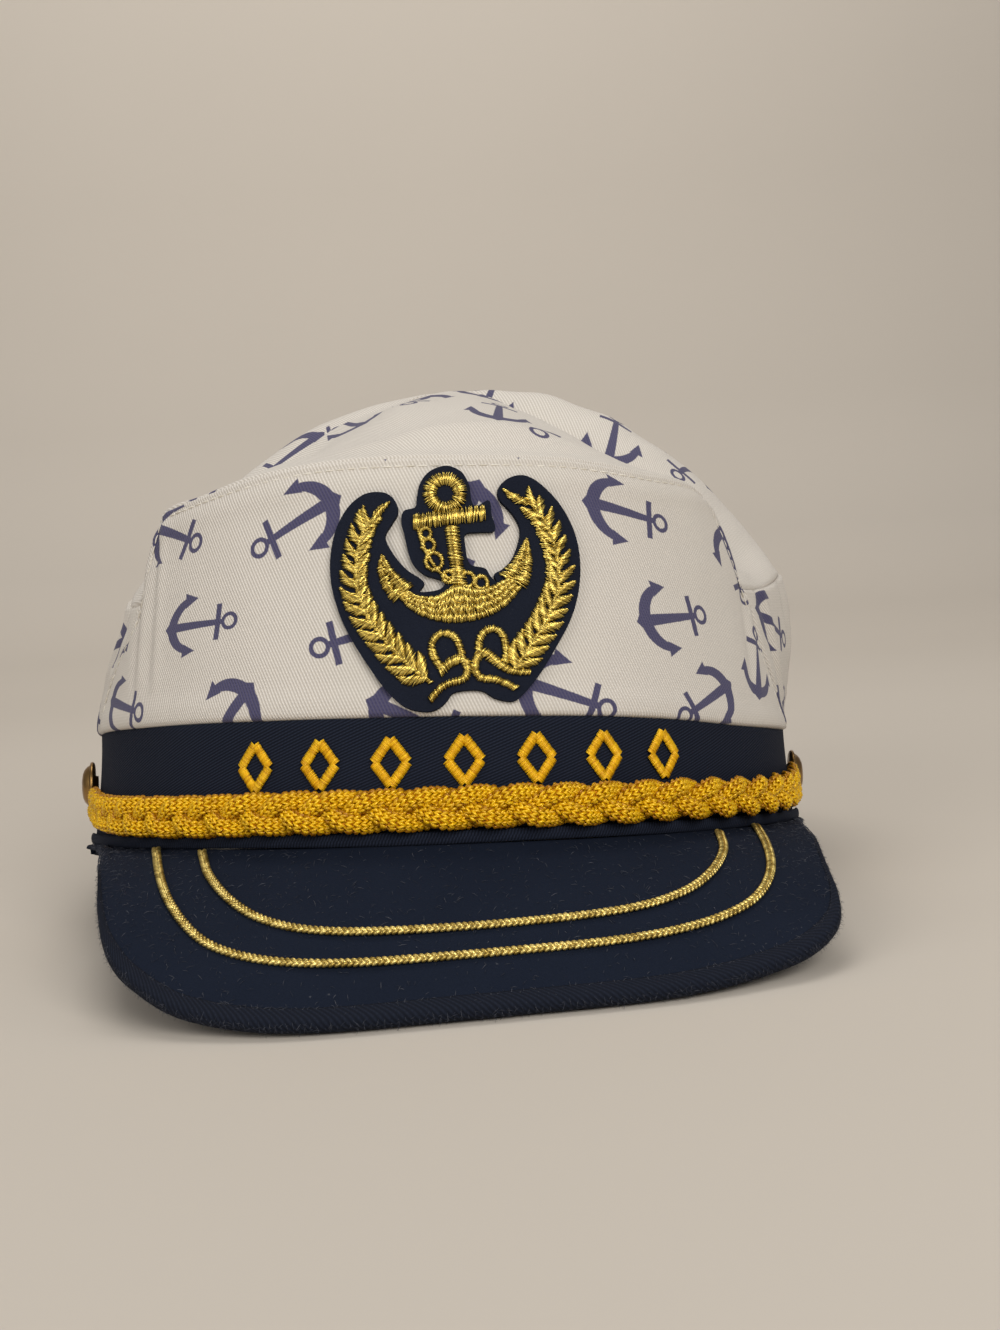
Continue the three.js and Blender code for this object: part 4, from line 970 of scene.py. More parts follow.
across, up = mesh_grid(np.linspace(-1, 1, 241), finer_edge(0.03, 5, 62, both=True))
front = front_surface(across, up)
front_normal = grid_normals(front)
from_left, front_v = lengths(front, 0), lengths(front, 1)
from_right, from_top = from_left[-1:] - from_left, front_v[:, -1:] - front_v
front_u = from_middle(from_left)
relief = 0.32 * waves(front, 46, 3) + 0.10 * waves(front, 15, 4)
under_badge = smooth(np.hypot(front_u - 0.5, front_v - 27), 36, 24)
relief = relief * (1 - under_badge * 0.85)
relief += creases(front_u, front_v, FRONT_CREASES, (front_v - 30) * 0.03, (4, 16))
relief += 0.35 * ridge(from_top, 6.0, 2.6) - 0.28 * ridge(from_top, STITCH_INSET, 0.7)
for from_side in (from_left, from_right):
    relief -= 0.25 * ridge(from_side, STITCH_INSET, 0.7) + folded_edge(from_side, 0.9)
relief += hem(front_v) - folded_edge(from_top, 1.3)
front_piece = crown_piece("front_panel_cloth", front, front_normal, relief,
                          np.stack([front_u, front_v], -1), FRONT_ANCHORS)

around, rise = mesh_grid(np.linspace(0, 1, 301), finer_edge(0.04, 5, 38, both=True))
back = back_surface(around, rise)
back_u, back_v = lengths(back, 0), lengths(back, 1)
to_end = back_u - back_u[-1:]
relief = 0.45 * waves(back, 40, 8) + 0.15 * waves(back, 13, 9)
relief += 0.315 * np.sin(back_u / 6.1 + 1.2 * np.sin(back_u / 23)) * smooth(rise, 0.45, 1.0)
relief += creases(back_u, back_v, BACK_RIGHT_CREASES, 0, (5, 22))
relief += creases(to_end, back_v, BACK_LEFT_CREASES, 0, (5, 22))
relief -= folded_edge(back_v[:, -1:] - back_v, 1.3)
relief += hem(back_v) - folded_edge(back_u, 0.9) - folded_edge(-to_end, 0.9)
back_piece = crown_piece("back_panel_cloth", back, grid_normals(back), relief,
                         np.stack([back_u, back_v], -1),
                         scattered(BACK_ANCHORS, (34, 2), (392, 52), 32.0, 21))

place, way = mesh_grid(np.linspace(-1, 1, 321)[:-1], finer_edge(0.03, 6, 68))
top = puff_surface(place, way)
top_normal = grid_normals(top, wraps=True)
top_normal[:, -1] = (0, 0, 1)
seam_run = lengths(closed(top[:, :1]), 0)[:-1]
from_seam = lengths(top, 1)
radius = from_seam[:, -1:] - from_seam
seam_turn = np.arctan2(top[:, :1, 0] - PUFF_TOP[0], -(top[:, :1, 1] - PUFF_TOP[1]))
fade = smooth(from_seam, 1, 7) * (1 - smooth(way, 0.75, 1.0))
relief = (0.9 * waves(top, 52, 13) + 0.35 * waves(top, 21, 14)) * fade
gather = np.sin(seam_run / 5.3 + 1.5 * np.sin(seam_run / 31)) * ridge(from_seam, 5, 5)
relief += 0.45 * gather * (0.35 + smooth(np.abs(np.degrees(seam_turn)), 20, 60))
relief -= folded_edge(from_seam, 1.3)
top_cloth = np.stack([radius * np.sin(seam_turn), -radius * np.cos(seam_turn)], -1)
top_piece = crown_piece("top_panel_cloth", top, top_normal, relief, top_cloth,
                        scattered(TOP_ANCHORS, (-130, -130), (130, 130), 31.5, 34),
                        round_top=True)

# Band and the folded strip under the braid

turn, share = mesh_grid(np.linspace(-180, 180, 321)[:-1], finer_edge(0.06, 5, 20))
height = share * (band_top(turn) + 0.25)
ring = band_point(turn, height)
relief = 0.22 * waves(ring, 38, 41) - folded_edge(height, 1.1)
band_piece = grid_piece("band_cloth", ring + band_normal(turn) * relief[..., None],
                        np.stack([lengths(closed(ring), 0), closed(height)], -1),
                        band_cloth, wraps=True)
thicken(band_piece, BAND_THICKNESS - 0.15)
press_on_floor(band_piece)

turns = np.linspace(-STRIP_TURN, STRIP_TURN, 300)
thin = smooth(STRIP_TURN - np.abs(turns), 0, 2.5) ** 0.5 * 0.92 + 0.08
strip_path = band_point(turns, 1.12 + 0.08 * np.sin(turns / 7.0), SEAM_GAP + 0.55)
strip_piece = tube_piece("visor_seam_strip_cloth", strip_path, band_normal(turns),
                         np.broadcast_to((0.0, 0.0, 1.0), strip_path.shape), 0.62 * thin,
                         1.36 * thin, band_cloth)

# Visor

way, inward = mesh_grid(np.linspace(-1, 1, 201), np.linspace(0, 1, 44) ** 0.9)
board = visor_surface(way, inward)
board_normal = grid_normals(board)
board_normal[:, -1] = board_normal[:, -2]
from_edge, board_u = lengths(board, 1), from_middle(lengths(board, 0))
relief = 0.22 * waves(board, 60, 51) * smooth(from_edge, 2, 12) - folded_edge(from_edge, 0.9)
board = board + board_normal * (relief - 0.02)[..., None]
# Three more rows run in under the band
TUCKED_OUT = (1.0, 0.2, -0.6)
tucked = [oval(BAND_HALF_WIDTH + out, BAND_HALF_DEPTH + out, way[:, -1] * VISOR_TURN,
               -SEAM_GAP - 0.05) for out in TUCKED_OUT]
board = np.concatenate([board, np.stack(tucked, 1)], 1)
board_u = np.concatenate([board_u, np.repeat(board_u[:, -1:], len(tucked), 1)], 1)
visor_piece = grid_piece("visor_felt", board, np.stack([board_u, lengths(board, 1)], -1),
                         visor_felt)
thicken(visor_piece, VISOR_THICKNESS - 0.1)

bound = np.linspace(-BINDING_SHARE * 0.99, BINDING_SHARE * 0.99, 240)
edge_at = visor_edge(bound)
edge_up = normals_of(visor_surface, bound, np.full_like(bound, 0.05))
edge_out = -square_to(edge_up, unit(visor_seam(bound) - edge_at))
half = VISOR_THICKNESS / 2
# The tape in section: how far out from the board's edge, and up from its middle
profile = [
    (-BINDING_WIDTH, half + 0.02), (-BINDING_WIDTH + 0.5, half + 0.26), (-1.6, half + 0.46),
    (-0.4, half + 0.48), (0.45, half + 0.26), (0.92, half - 0.45), (1.05, 0.0),
    (0.92, -half + 0.45), (0.45, -half - 0.45), (-0.4, -half - 0.82), (-1.6, -half - 0.86),
    (-BINDING_WIDTH + 0.25, -half - 0.78), (-BINDING_WIDTH, -half - 0.35), (-1.2, -half - 0.25),
    (0.25, -half - 0.1), (0.35, 0.0), (0.25, half + 0.1), (-1.2, half + 0.25),
]
tape_middle = edge_at - edge_up * half
taper = smooth(BINDING_SHARE - np.abs(bound), 0, 0.07)[:, None]
section = closed(np.stack([
    tape_middle + edge_out * out * (taper if out > 0 else 1)
    + edge_up * up_from * mix(0.75, 1, taper)
    for out, up_from in profile]))[::-1]
tape_run = lengths(tape_middle[None], 1)
tape_cloth = np.stack(np.broadcast_arrays(lengths(section[:, :1], 0), tape_run), -1)
tape = grid_piece("visor_binding_tape", section[:-1], tape_cloth, binding_cloth, wraps=True)
close_ends(tape.data)
rounding = tape.modifiers.new("rounding", "SUBSURF")
rounding.levels = rounding.render_levels = 1
settle(tape)
press_on_floor(tape)

# Chain cords on the visor

link = small_tube("chain_link", 6, 6, 0.35, 0.30)


def visor_chain(name, line, seed):
    """Two rows of slanted links along a curve, given from the visor's middle to one side."""
    turns, outs = (np.concatenate([sign * line[key][::-1], line[key][1:]])
                   for key, sign in (("turn", -1), ("out", 1)))
    both_sides = table(share=np.linspace(0, 1, len(turns)), turn=turns, out=outs)
    fine = np.linspace(0, 1, 1600)
    ways = read(both_sides, "share", "turn", fine)
    inwards = 1 - read(both_sides, "share", "out", fine)
    path = visor_surface(ways, inwards)
    run = lengths(path[None], 1)[0]
    at = np.arange(0.5, run[-1] - 0.5, CHAIN_PITCH)
    chain, up_at = along_run(at, run, path, normals_of(visor_surface, ways, inwards))
    up_at = unit(up_at)
    along = unit(np.gradient(chain, axis=0))
    aside = np.cross(up_at, along)
    centres, ways, normals = [], [], []
    for side in (-1, 1):
        step = along * (0.28 * side)
        centres.append(chain + step + aside * side * CHAIN_WIDTH * 0.21 + up_at * 0.50)
        ways.append(along * 0.84 - aside * side * 0.54)
        normals.append(unit(up_at + aside * side * 0.3))
    centres, ways, normals = (np.concatenate(rows) for rows in (centres, ways, normals))
    sizes = np.tile((1.05, 0.245, 0.30), (len(centres), 1)) * CHAIN_WIDTH
    return set_copies(name, link, centres, ways, normals, sizes, chain_thread, seed)


outer_chain = visor_chain("visor_chain_outer", OUTER_CORD, 61)
inner_chain = visor_chain("visor_chain_inner", INNER_CORD, 62)

# Plaited braid

yarn = small_tube("knit_yarn", 4, 4, 0.45, 0.70)
# Painted shade on the knit yarn: the middle row round each cord is lightest, and the outer rows,
# where the cord turns away and meets its neighbours, are painted dark
PAINTED_SHADE_BY_ROW = (0.95, 0.72, 0.05)
ROW_TURN = 39
LEG_TURN = 10.5


def knit_loops(name, path, first, second, half_thick, seed):
    """V-shaped knit stitches in rows over the side of a cord that shows."""
    run = lengths(path[:, None], 0)[:, 0]
    courses = np.arange(0.6, run[-1] - 0.6, COURSE_PITCH)
    centre, one, two = along_run(courses, run, path, first, second)
    thick = np.interp(courses, run, half_thick)[:, None]
    along = unit(np.gradient(centre, axis=0))
    chance = np.random.default_rng(seed)
    centres, ways, ups, shades = [], [], [], []
    for row in range(-2, 3):
        for side in (-1, 1):
            angle = math.radians(90 + row * ROW_TURN + side * LEG_TURN)
            cos, sin = math.cos(angle), math.sin(angle)
            centres.append(centre + one * cos * STRAND_HALF_WIDTH + two * sin * thick)
            ways.append(along * 0.92 + (two * cos - one * sin) * side * 0.39)
            ups.append(unit(one * cos / STRAND_HALF_WIDTH + two * sin / thick))
            # Each yarn gets its row's painted shade, with random tone on top
            shades.append(PAINTED_SHADE_BY_ROW[abs(row)] + chance.normal(0, 0.16, len(centre)))
    centres, ways, ups, shades = (np.concatenate(rows) for rows in (centres, ways, ups, shades))
    count = len(centres)
    sizes = np.stack([chance.uniform(1.75, 2.15, count), chance.uniform(0.31, 0.37, count),
                      np.full(count, 0.42)], -1)
    return set_copies(name, yarn, centres + chance.normal(0, 0.04, (count, 3)), ways, ups, sizes,
                      knit_thread, seed, shade=np.clip(shades, 0, 1))


strands, loops = [], []
braid_run = 2 * math.radians(BRAID_TURN) * (BAND_HALF_WIDTH + BAND_HALF_DEPTH) / 2
plaits = round(braid_run / BRAID_PITCH)
share = np.linspace(0, 1, 560)
turns = mix(-BRAID_TURN - BRAID_OVERRUN, BRAID_TURN + BRAID_OVERRUN, share)
middle = BAND_HEIGHT * read(BRAID_LINE, "way", "up", np.abs(turns) / BRAID_TURN)
pulled = smooth(np.abs(turns) / BRAID_TURN, 0.62, 1.0)
swing, out, cross, thick = (mix(BRAID_LOOSE[key], BRAID_TIGHT[key], pulled) for key in BRAID_LOOSE)
ends = np.minimum(smooth(share, 0, 0.008), smooth(1 - share, 0, 0.008)) ** 0.5 * 0.97 + 0.03
for index in range(3):
    phase = 2 * math.pi * (share * plaits + index / 3)
    reach = (BRAID_WIDTH / 2 - 1.85) * swing + 0.10 * np.sin(phase * 0.37 + index)
    wide = middle + reach * (np.sin(phase) + 0.08 * np.sin(3 * phase))
    proud = SEAM_GAP + out + cross * np.sin(2 * phase)
    path = band_point(turns, wide) + band_normal(turns) * proud[:, None]
    along = unit(np.gradient(path, axis=0))
    second = square_to(along, band_normal(turns))
    first = np.cross(along, second)
    strands.append(tube_piece(f"braid_cord_{index + 1}", path, first, second,
                              STRAND_HALF_WIDTH * ends, thick * ends, braid_knit))
    loops.append(knit_loops(f"braid_loops_{index + 1}", path, first, second, thick, 64 + index))

# Buttons


def lathe_piece(name, profile, centre, axis, finish, sides=64):
    """A closed turned piece from a list of radius and height."""
    z = unit(np.array(axis, float))
    x = unit(np.cross((0.0, 0.0, 1.0), z))
    y = np.cross(z, x)
    mesh = bpy.data.meshes.new(name)
    angle = np.arange(sides) * 2 * math.pi / sides
    ring = np.cos(angle)[:, None] * x + np.sin(angle)[:, None] * y
    points = [centre + ring * radius + z * height for radius, height in profile]
    tips = [centre + z * profile[0][1], centre + z * profile[-1][1]]
    flat = placed(np.concatenate([np.concatenate(points), tips]))
    faces = []
    count = len(profile)
    for row in range(count - 1):
        for side in range(sides):
            a, b = row * sides + side, row * sides + (side + 1) % sides
            faces.append((a, b, b + sides, a + sides))
    for side in range(sides):
        after = (side + 1) % sides
        faces.append((count * sides, after, side))
        faces.append((count * sides + 1, (count - 1) * sides + side, (count - 1) * sides + after))
    mesh.from_pydata(flat.tolist(), [], faces)
    mesh.materials.append(finish.material)
    set_smooth(mesh)
    return new_piece(name, mesh)


# A button's turned outline from its foot to its top: radius and height
BUTTON_PROFILE = [
    (2.4, 0.0), (2.5, 0.7), (5.1, 0.75), (5.75, 0.95), (6.0, 1.35), (5.9, 1.75), (5.55, 1.95),
    (5.3, 1.9), (5.1, 2.15), (4.7, 2.75), (4.0, 3.35), (3.0, 3.75), (1.6, 3.95), (0.5, 4.0),
]
buttons = []
for name, side, height in (("right", 1, 11.0), ("left", -1, 14.0)):
    turn = np.array(side * BUTTON_TURN)
    foot = band_point(turn, height) + band_normal(turn) * 0.55
    buttons.append(lathe_piece(f"brass_button_{name}", BUTTON_PROFILE, foot, band_normal(turn),
                               button_brass))

# Badge

thread = small_tube("satin_thread", 5, 4, 0.5, 1.0)


def on_front(x, z):
    """The place on the front panel that is seen at x and z from straight ahead."""
    up = np.full(np.shape(x), 0.5)
    for _ in range(12):
        turn = np.degrees(np.arcsin(x / (CROWN_HALF_WIDTH - FRONT_SIDE_LEAN * up)))
        across = turn / front_edge_turn(up, x)
        foot = CROWN_FOOT + (band_top(turn) - BAND_HEIGHT) * (1 - up) ** 2
        up = (z - foot) / (FRONT_RISE * by_side(FRONT_TOP_EDGE, "across", np.abs(across), x))
    return front_surface(across, up)


def badge_surface(plane, lift=0.0):
    """From the badge's flat drawing, in millimetres from its middle, onto the front panel."""
    x, y = plane[..., 0], plane[..., 1] + CROWN_FOOT + BADGE_UP
    here = on_front(x, y)
    normal = unit(np.cross(on_front(x + 0.2, y) - here, on_front(x, y + 0.2) - here))
    return here + normal * lift, normal


def band_surface(plane, lift=0.0):
    """From a flat drawing along the band, x round it and y above its rim, onto the band."""
    turn = np.degrees(plane[..., 0] / BAND_HALF_DEPTH)
    normal = band_normal(turn)
    return band_point(turn, plane[..., 1]) + normal * lift, normal


def rounded(p, t):
    """A smooth line's points between the second and third of four, at shares of the way."""
    return 0.5 * (2 * p[1] + (p[2] - p[0]) * t + (2 * p[0] - 5 * p[1] + 4 * p[2] - p[3]) * t**2
                  + (3 * p[1] - p[0] - 3 * p[2] + p[3]) * t**3)


def closed_curve(points, count):
    """A smooth closed line through points."""
    points = np.array(points, float)
    places = np.linspace(0, len(points), count, endpoint=False)
    index = places.astype(int)
    near = [points[(index + shift) % len(points)] for shift in (-1, 0, 1, 2)]
    return rounded(near, (places - index)[:, None])


def open_curve(points, count=200):
    """A smooth open line through points, in even steps."""
    points = np.array(points, float)
    points = np.concatenate([2 * points[:1] - points[1:2], points, 2 * points[-1:] - points[-2:-1]])
    places = np.linspace(0, len(points) - 3 - 1e-6, count * 4)
    index = places.astype(int)
    line = rounded([points[index + shift] for shift in range(4)], (places - index)[:, None])
    run = lengths(line[None], 1)[0]
    return along_run(np.linspace(0, run[-1], count), run, line)[0]


class Satin:
    """Rows of thread on a flat drawing: where each thread lies, its way, length and height."""

    def __init__(self, pitch):
        self.pitch, self.rows = pitch, []

    def between(self, one, other, tiers, stagger=0.6):
        """Threads from one line to another, in as many tiers as asked."""
        one, other = open_curve(one), open_curve(other)
        length = max(lengths(one[None], 1)[0, -1], lengths(other[None], 1)[0, -1])
        count = max(int(length / self.pitch), 3)
        pick = np.linspace(0, len(one) - 1, count).astype(int)
        a, b = one[pick], other[pick]
        breaks = np.random.default_rng(count).uniform(-0.5, 0.5, (count, 1)) / tiers * stagger
        edges = [mix(a, b, np.clip(tier / tiers + (breaks if 0 < tier < tiers else 0), 0, 1))
                 for tier in range(tiers + 1)]
        for start, end in zip(edges, edges[1:]):
            keep = np.linalg.norm(end - start, axis=1) > 0.25
            self.rows.append(((start + end)[keep] / 2, (end - start)[keep], 1.0))

    def along(self, line, width, slant=0.0, height=1.0, loop=False):
        """Threads across a line, as wide as asked, which may be a list read along it."""
        line = closed(closed_curve(line, 400)) if loop else open_curve(line)
        run = lengths(line[None], 1)[0]
        at = np.arange(self.pitch / 2, run[-1], self.pitch)
        middle = along_run(at, run, line)[0]
        way = unit(np.gradient(middle, axis=0))
        cos, sin = math.cos(slant), math.sin(slant)
        over = np.stack([-way[:, 1], way[:, 0]], -1) * cos + way * sin
        widths = np.interp(at / run[-1], np.linspace(0, 1, np.size(width)), np.atleast_1d(width))
        self.rows.append((middle, over * widths[:, None] / max(cos, 0.5), height))

    def leaf(self, foot, tip, width, slant):
        """Threads across a leaf that is widest a little before its middle."""
        foot, tip = np.array(foot), np.array(tip)
        side = unit(np.array([foot[1] - tip[1], tip[0] - foot[0]]))
        bend = mix(foot, tip, 0.5) + side * width * 0.12
        self.along([foot, bend, tip], [0.35 * width, 0.95 * width, width, 0.8 * width,
                                       0.45 * width, 0.12 * width], slant)

    def piece(self, name, surface, lift, thickness, finish, seed, loose=1.0):
        """The threads as one piece on a surface; loose ones stray more."""
        chance = np.random.default_rng(seed)
        centre, way = (np.concatenate([row[part] for row in self.rows]) for part in (0, 1))
        high = np.concatenate([np.full(len(row[0]), row[2]) for row in self.rows])
        length = np.linalg.norm(way, axis=1)
        length = length * chance.uniform(1 - 0.06 * loose, 1 + 0.2 * loose, len(way))
        centre = centre + chance.normal(0, 0.03 * loose, centre.shape)
        way = unit(way) + chance.normal(0, 0.09 * loose, way.shape)
        before, normal = surface(centre - unit(way) * 0.3, 0.0)
        after, _ = surface(centre + unit(way) * 0.3, 0.0)
        thick = thickness * chance.uniform(0.86, 1.16, len(way))
        mound = np.clip(length / 2.2, 0.4, 1.25) * high
        place = (before + after) / 2 + normal * (lift + chance.uniform(0, 0.05, len(way)))[:, None]
        sizes = np.stack([length + 0.25, thick, thick * (0.9 + 0.8 * mound)], -1)
        return set_copies(name, thread, place, after - before, normal, sizes, finish, seed)


# The badge is drawn on squares of its own, and this is the drawing's middle and scale
DRAWING_MIDDLE = (745, 775)
SQUARES_PER_MM = 23.9


def badge_place(x, y):
    """From the drawing's squares to millimetres from its middle, with y up."""
    return ((x - DRAWING_MIDDLE[0]) / SQUARES_PER_MM, (DRAWING_MIDDLE[1] - y) / SQUARES_PER_MM)


def badge_line(*points):
    return [badge_place(x, y) for x, y in points]


def badge_ring(x, y, half_x, half_y, count):
    angles = np.linspace(0, 2 * math.pi, count + 1)[:-1]
    return badge_line(*[(x + half_x * math.cos(a), y + half_y * math.sin(a)) for a in angles])


FELT_EDGE = badge_line(
    (372, 283), (305, 291), (240, 335), (187, 408), (150, 500), (130, 615), (130, 720), (146, 815),
    (180, 930), (233, 1045), (305, 1170), (385, 1290), (470, 1372), (560, 1398), (622, 1388),
    (668, 1352), (702, 1312), (770, 1300), (842, 1306), (905, 1345), (985, 1360), (1035, 1330),
    (1120, 1235), (1210, 1100), (1290, 965), (1338, 835), (1360, 700), (1355, 570), (1325, 460),
    (1270, 355), (1190, 265), (1120, 218), (1060, 213), (1000, 240), (962, 290), (972, 345),
    (1020, 400), (1060, 470), (1060, 540), (1020, 640), (965, 700), (925, 725), (935, 765),
    (905, 735), (880, 695), (820, 680), (798, 650), (790, 590), (792, 518), (860, 508), (938, 500),
    (925, 420), (915, 345), (850, 375), (828, 340), (822, 270), (790, 200), (735, 165), (680, 165),
    (620, 195), (580, 250), (562, 320), (552, 372), (495, 390), (482, 450), (496, 520), (508, 590),
    (530, 660), (585, 718), (650, 742), (682, 765), (650, 798), (560, 805), (583, 765), (560, 735),
    (500, 690), (440, 610), (400, 520), (432, 455), (465, 400), (460, 345), (425, 300),
)


def felt_piece(name, edge, lift, thickness, finish):
    """A flat cut-out of felt laid on the front panel, with its outline drawn in full."""
    ring = closed_curve(edge, 420)
    low, high = ring.min(0), ring.max(0)
    step = 0.62
    x, y = np.meshgrid(np.arange(low[0], high[0], step), np.arange(low[1], high[1], step))
    inner = np.stack([x.ravel(), y.ravel()], -1)
    inside = np.zeros(len(inner), bool)
    for (x0, y0), (x1, y1) in zip(ring, np.roll(ring, -1, 0)):
        crosses = (y0 > inner[:, 1]) != (y1 > inner[:, 1])
        at = x0 + (inner[:, 1] - y0) * (x1 - x0) / np.where(y1 == y0, 1e-9, y1 - y0)
        inside ^= crosses & (inner[:, 0] < at)
    away = np.min(np.linalg.norm(inner[inside][:, None] - ring[None, ::2], axis=2), axis=1)
    inner = inner[inside][away > 0.35]
    points = [Vector(point) for point in np.concatenate([ring, inner]).tolist()]
    edges = [(index, (index + 1) % len(ring)) for index in range(len(ring))]
    flat, _, faces, _, _, _ = geometry.delaunay_2d_cdt(
        points, edges, [list(range(len(ring)))], 1, 1e-5)
    plane = np.array([tuple(point) for point in flat])
    surface, _ = badge_surface(plane, lift + thickness)
    mesh = bpy.data.meshes.new(name)
    mesh.from_pydata(placed(surface).tolist(), [], faces)
    mesh.materials.append(finish.material)
    forward = Vector(turned(np.array([0.0, -1.0, 0.1])).tolist())
    with editing(mesh) as work:
        for face in work.faces:
            if face.normal.dot(forward) < 0:
                face.normal_flip()
    piece = new_piece(name, mesh)
    thicken(piece, thickness)
    set_smooth(piece.data, False)
    return piece


felt = felt_piece("badge_felt_backing", FELT_EDGE, SEAM_GAP, FELT_THICKNESS, patch_felt)
THREAD_LIFT = SEAM_GAP + FELT_THICKNESS + 0.2

anchor = Satin(0.31)
anchor.along(badge_line((540, 452), (700, 432), (895, 412)), 3.1, 0.12, 1.1)
anchor.along(badge_line((727, 478), (735, 600), (752, 770)), [2.5, 2.6, 2.8], 0.15, 1.1)
anchor.along(badge_ring(700, 305, 75, 77, 12), 2.45, loop=True)
anchor.between(badge_line((440, 800), (500, 880), (600, 942), (740, 965), (880, 938), (980, 880),
                          (1060, 790)),
               badge_line((500, 795), (560, 828), (650, 828), (740, 775), (830, 798), (900, 790),
                          (985, 750)), tiers=4)
anchor.between(badge_line((385, 600), (362, 680), (385, 780), (432, 852)),
               badge_line((388, 602), (430, 680), (480, 735), (530, 775)), tiers=2)
anchor.between(badge_line((1095, 535), (1112, 640), (1105, 720), (1078, 795)),
               badge_line((1090, 537), (1045, 620), (1000, 680), (950, 730)), tiers=2)
# Links of the anchor's chain: middle and half width
CHAIN_LINKS = [(598, 512, 26), (610, 572, 30), (634, 655, 40), (700, 735, 26), (792, 752, 33),
               (858, 768, 30)]
for x, y, half in CHAIN_LINKS:
    anchor.along(badge_ring(x, y, half, half * 1.1, 8), 0.72, 0.5, 1.3, loop=True)
anchor.along(badge_line((560, 480), (575, 540), (600, 610), (650, 700), (720, 760)), 0.6, 0.5)
anchor_piece = anchor.piece("badge_anchor_threads", badge_surface, THREAD_LIFT, 0.20,
                            gold_thread, 71)

LEAF_PAIRS = 13


def branch(name, stem, tips, seed):
    """One branch of the wreath: pairs of leaves up a stem, then two leaves from foot to tip."""
    satin = Satin(0.33)
    line = open_curve(badge_line(*stem))
    satin.along(badge_line(*stem), 0.9, 0.4, 0.8)
    for pair in range(LEAF_PAIRS):
        share = mix(0.03, 0.93, pair / (LEAF_PAIRS - 1))
        at = int(share * (len(line) - 2))
        way = unit(line[min(at + 2, len(line) - 1)] - line[max(at - 2, 0)])
        long = mix(6.1, 4.9, share)
        for side in (-1, 1):
            lean = math.radians(34 - 6 * share) * side
            leaf = np.array([way[0] * math.cos(lean) - way[1] * math.sin(lean),
                             way[0] * math.sin(lean) + way[1] * math.cos(lean)])
            satin.leaf(line[at] + leaf * 0.3, line[at] + leaf * long, 2.25, 0.75 * side)
    for start, end in tips:
        satin.leaf(badge_place(*start), badge_place(*end), 1.9, 0.75)
    return satin.piece(name, badge_surface, THREAD_LIFT, 0.21, gold_thread, seed)


left_branch = branch(
    "badge_left_branch_threads",
    [(600, 1262), (500, 1172), (402, 1060), (312, 925), (262, 790), (262, 640), (292, 500),
     (335, 430)],
    [((318, 455), (303, 352)), ((340, 440), (432, 342))], 72)
right_branch = branch(
    "badge_right_branch_threads",
    [(985, 1222), (1060, 1120), (1140, 1005), (1205, 880), (1243, 760), (1238, 620), (1200, 480),
     (1135, 378)],
    [((1145, 395), (1115, 275)), ((1110, 370), (985, 285))], 73)

# Strokes of the bow: the line's points, and its width read along it
BOW_STROKES = [
    ([(648, 1192), (612, 1120), (615, 1052), (660, 1018), (715, 1035), (745, 1100), (752, 1160)],
     [1.3, 1.4, 1.3, 1.25, 1.3, 1.5]),
    ([(640, 1215), (690, 1165), (750, 1150), (775, 1195), (755, 1245), (690, 1262), (640, 1290),
      (590, 1345)], [1.6, 1.9, 1.7, 1.4, 1.3, 1.25, 1.4]),
    ([(955, 1170), (962, 1090), (940, 1020), (885, 1002), (842, 1045), (830, 1110)],
     [1.3, 1.35, 1.25, 1.3, 1.5]),
    ([(825, 1105), (875, 1130), (920, 1172), (985, 1212), (1075, 1222)],
     [1.7, 1.9, 1.6, 1.3, 1.0]),
    ([(835, 1125), (808, 1180), (830, 1240), (900, 1252), (960, 1275), (1008, 1302)],
     [1.5, 1.4, 1.3, 1.3, 1.3]),
]
bow = Satin(0.30)
for points, widths in BOW_STROKES:
    bow.along(badge_line(*points), widths, 0.35)
bow_piece = bow.piece("badge_bow_threads", badge_surface, THREAD_LIFT + 0.12, 0.20, gold_thread, 74)

# Row of plain lozenges on the band

lozenges = Satin(0.27)
for index in range(MOTIF_COUNT):
    turn = mix(-MOTIF_TURN, MOTIF_TURN, index / (MOTIF_COUNT - 1))
    x = math.radians(turn) * BAND_HALF_DEPTH
    corners = np.array([(x - MOTIF_HALF[0], MOTIF_UP), (x, MOTIF_UP - MOTIF_HALF[1]),
                        (x + MOTIF_HALF[0], MOTIF_UP), (x, MOTIF_UP + MOTIF_HALF[1])])
    for start, end in zip(corners, np.roll(corners, -1, 0)):
        lozenges.along([start, mix(start, end, 0.5), end], 1.8)
lozenge_piece = lozenges.piece("band_lozenge_threads", band_surface, SEAM_GAP + 0.1, 0.19,
                               yellow_thread, 75, 0.4)

# Stitches

stitch = small_tube("sewing_stitch", 6, 5, 0.55, 0.55)


def stitch_row(name, path, normal, seed, lift):
    """A row of stitches along a line on a surface."""
    run = lengths(path[None], 1)[0]
    at = np.arange(STITCH_PITCH, run[-1] - STITCH_PITCH / 2, STITCH_PITCH)
    centre, up = along_run(at, run, path, normal)
    up = unit(up)
    along = np.gradient(centre, axis=0)
    long = STITCH_LENGTH * np.random.default_rng(seed).uniform(0.92, 1.08, len(at))
    sizes = np.stack([long, np.full(len(at), STITCH_THICKNESS),
                      np.full(len(at), STITCH_THICKNESS * 0.9)], -1)
    return set_copies(name, stitch, centre + up * lift, along, up, sizes, white_thread, seed)


def inset_line(points, run, distance, axis):
    """The line on a grid of points at a distance from the grid's edge, run being the distances."""
    moved = np.moveaxis(points, axis, 1)
    away = np.moveaxis(run, axis, 1)
    index = np.array([np.searchsorted(row, distance) for row in away])
    index = np.clip(index, 1, moved.shape[1] - 1)
    rows = np.arange(len(moved))
    low, high = away[rows, index - 1], away[rows, index]
    share = ((distance - low) / np.maximum(high - low, 1e-9))[:, None]
    return mix(moved[rows, index - 1], moved[rows, index], np.clip(share, 0, 1))


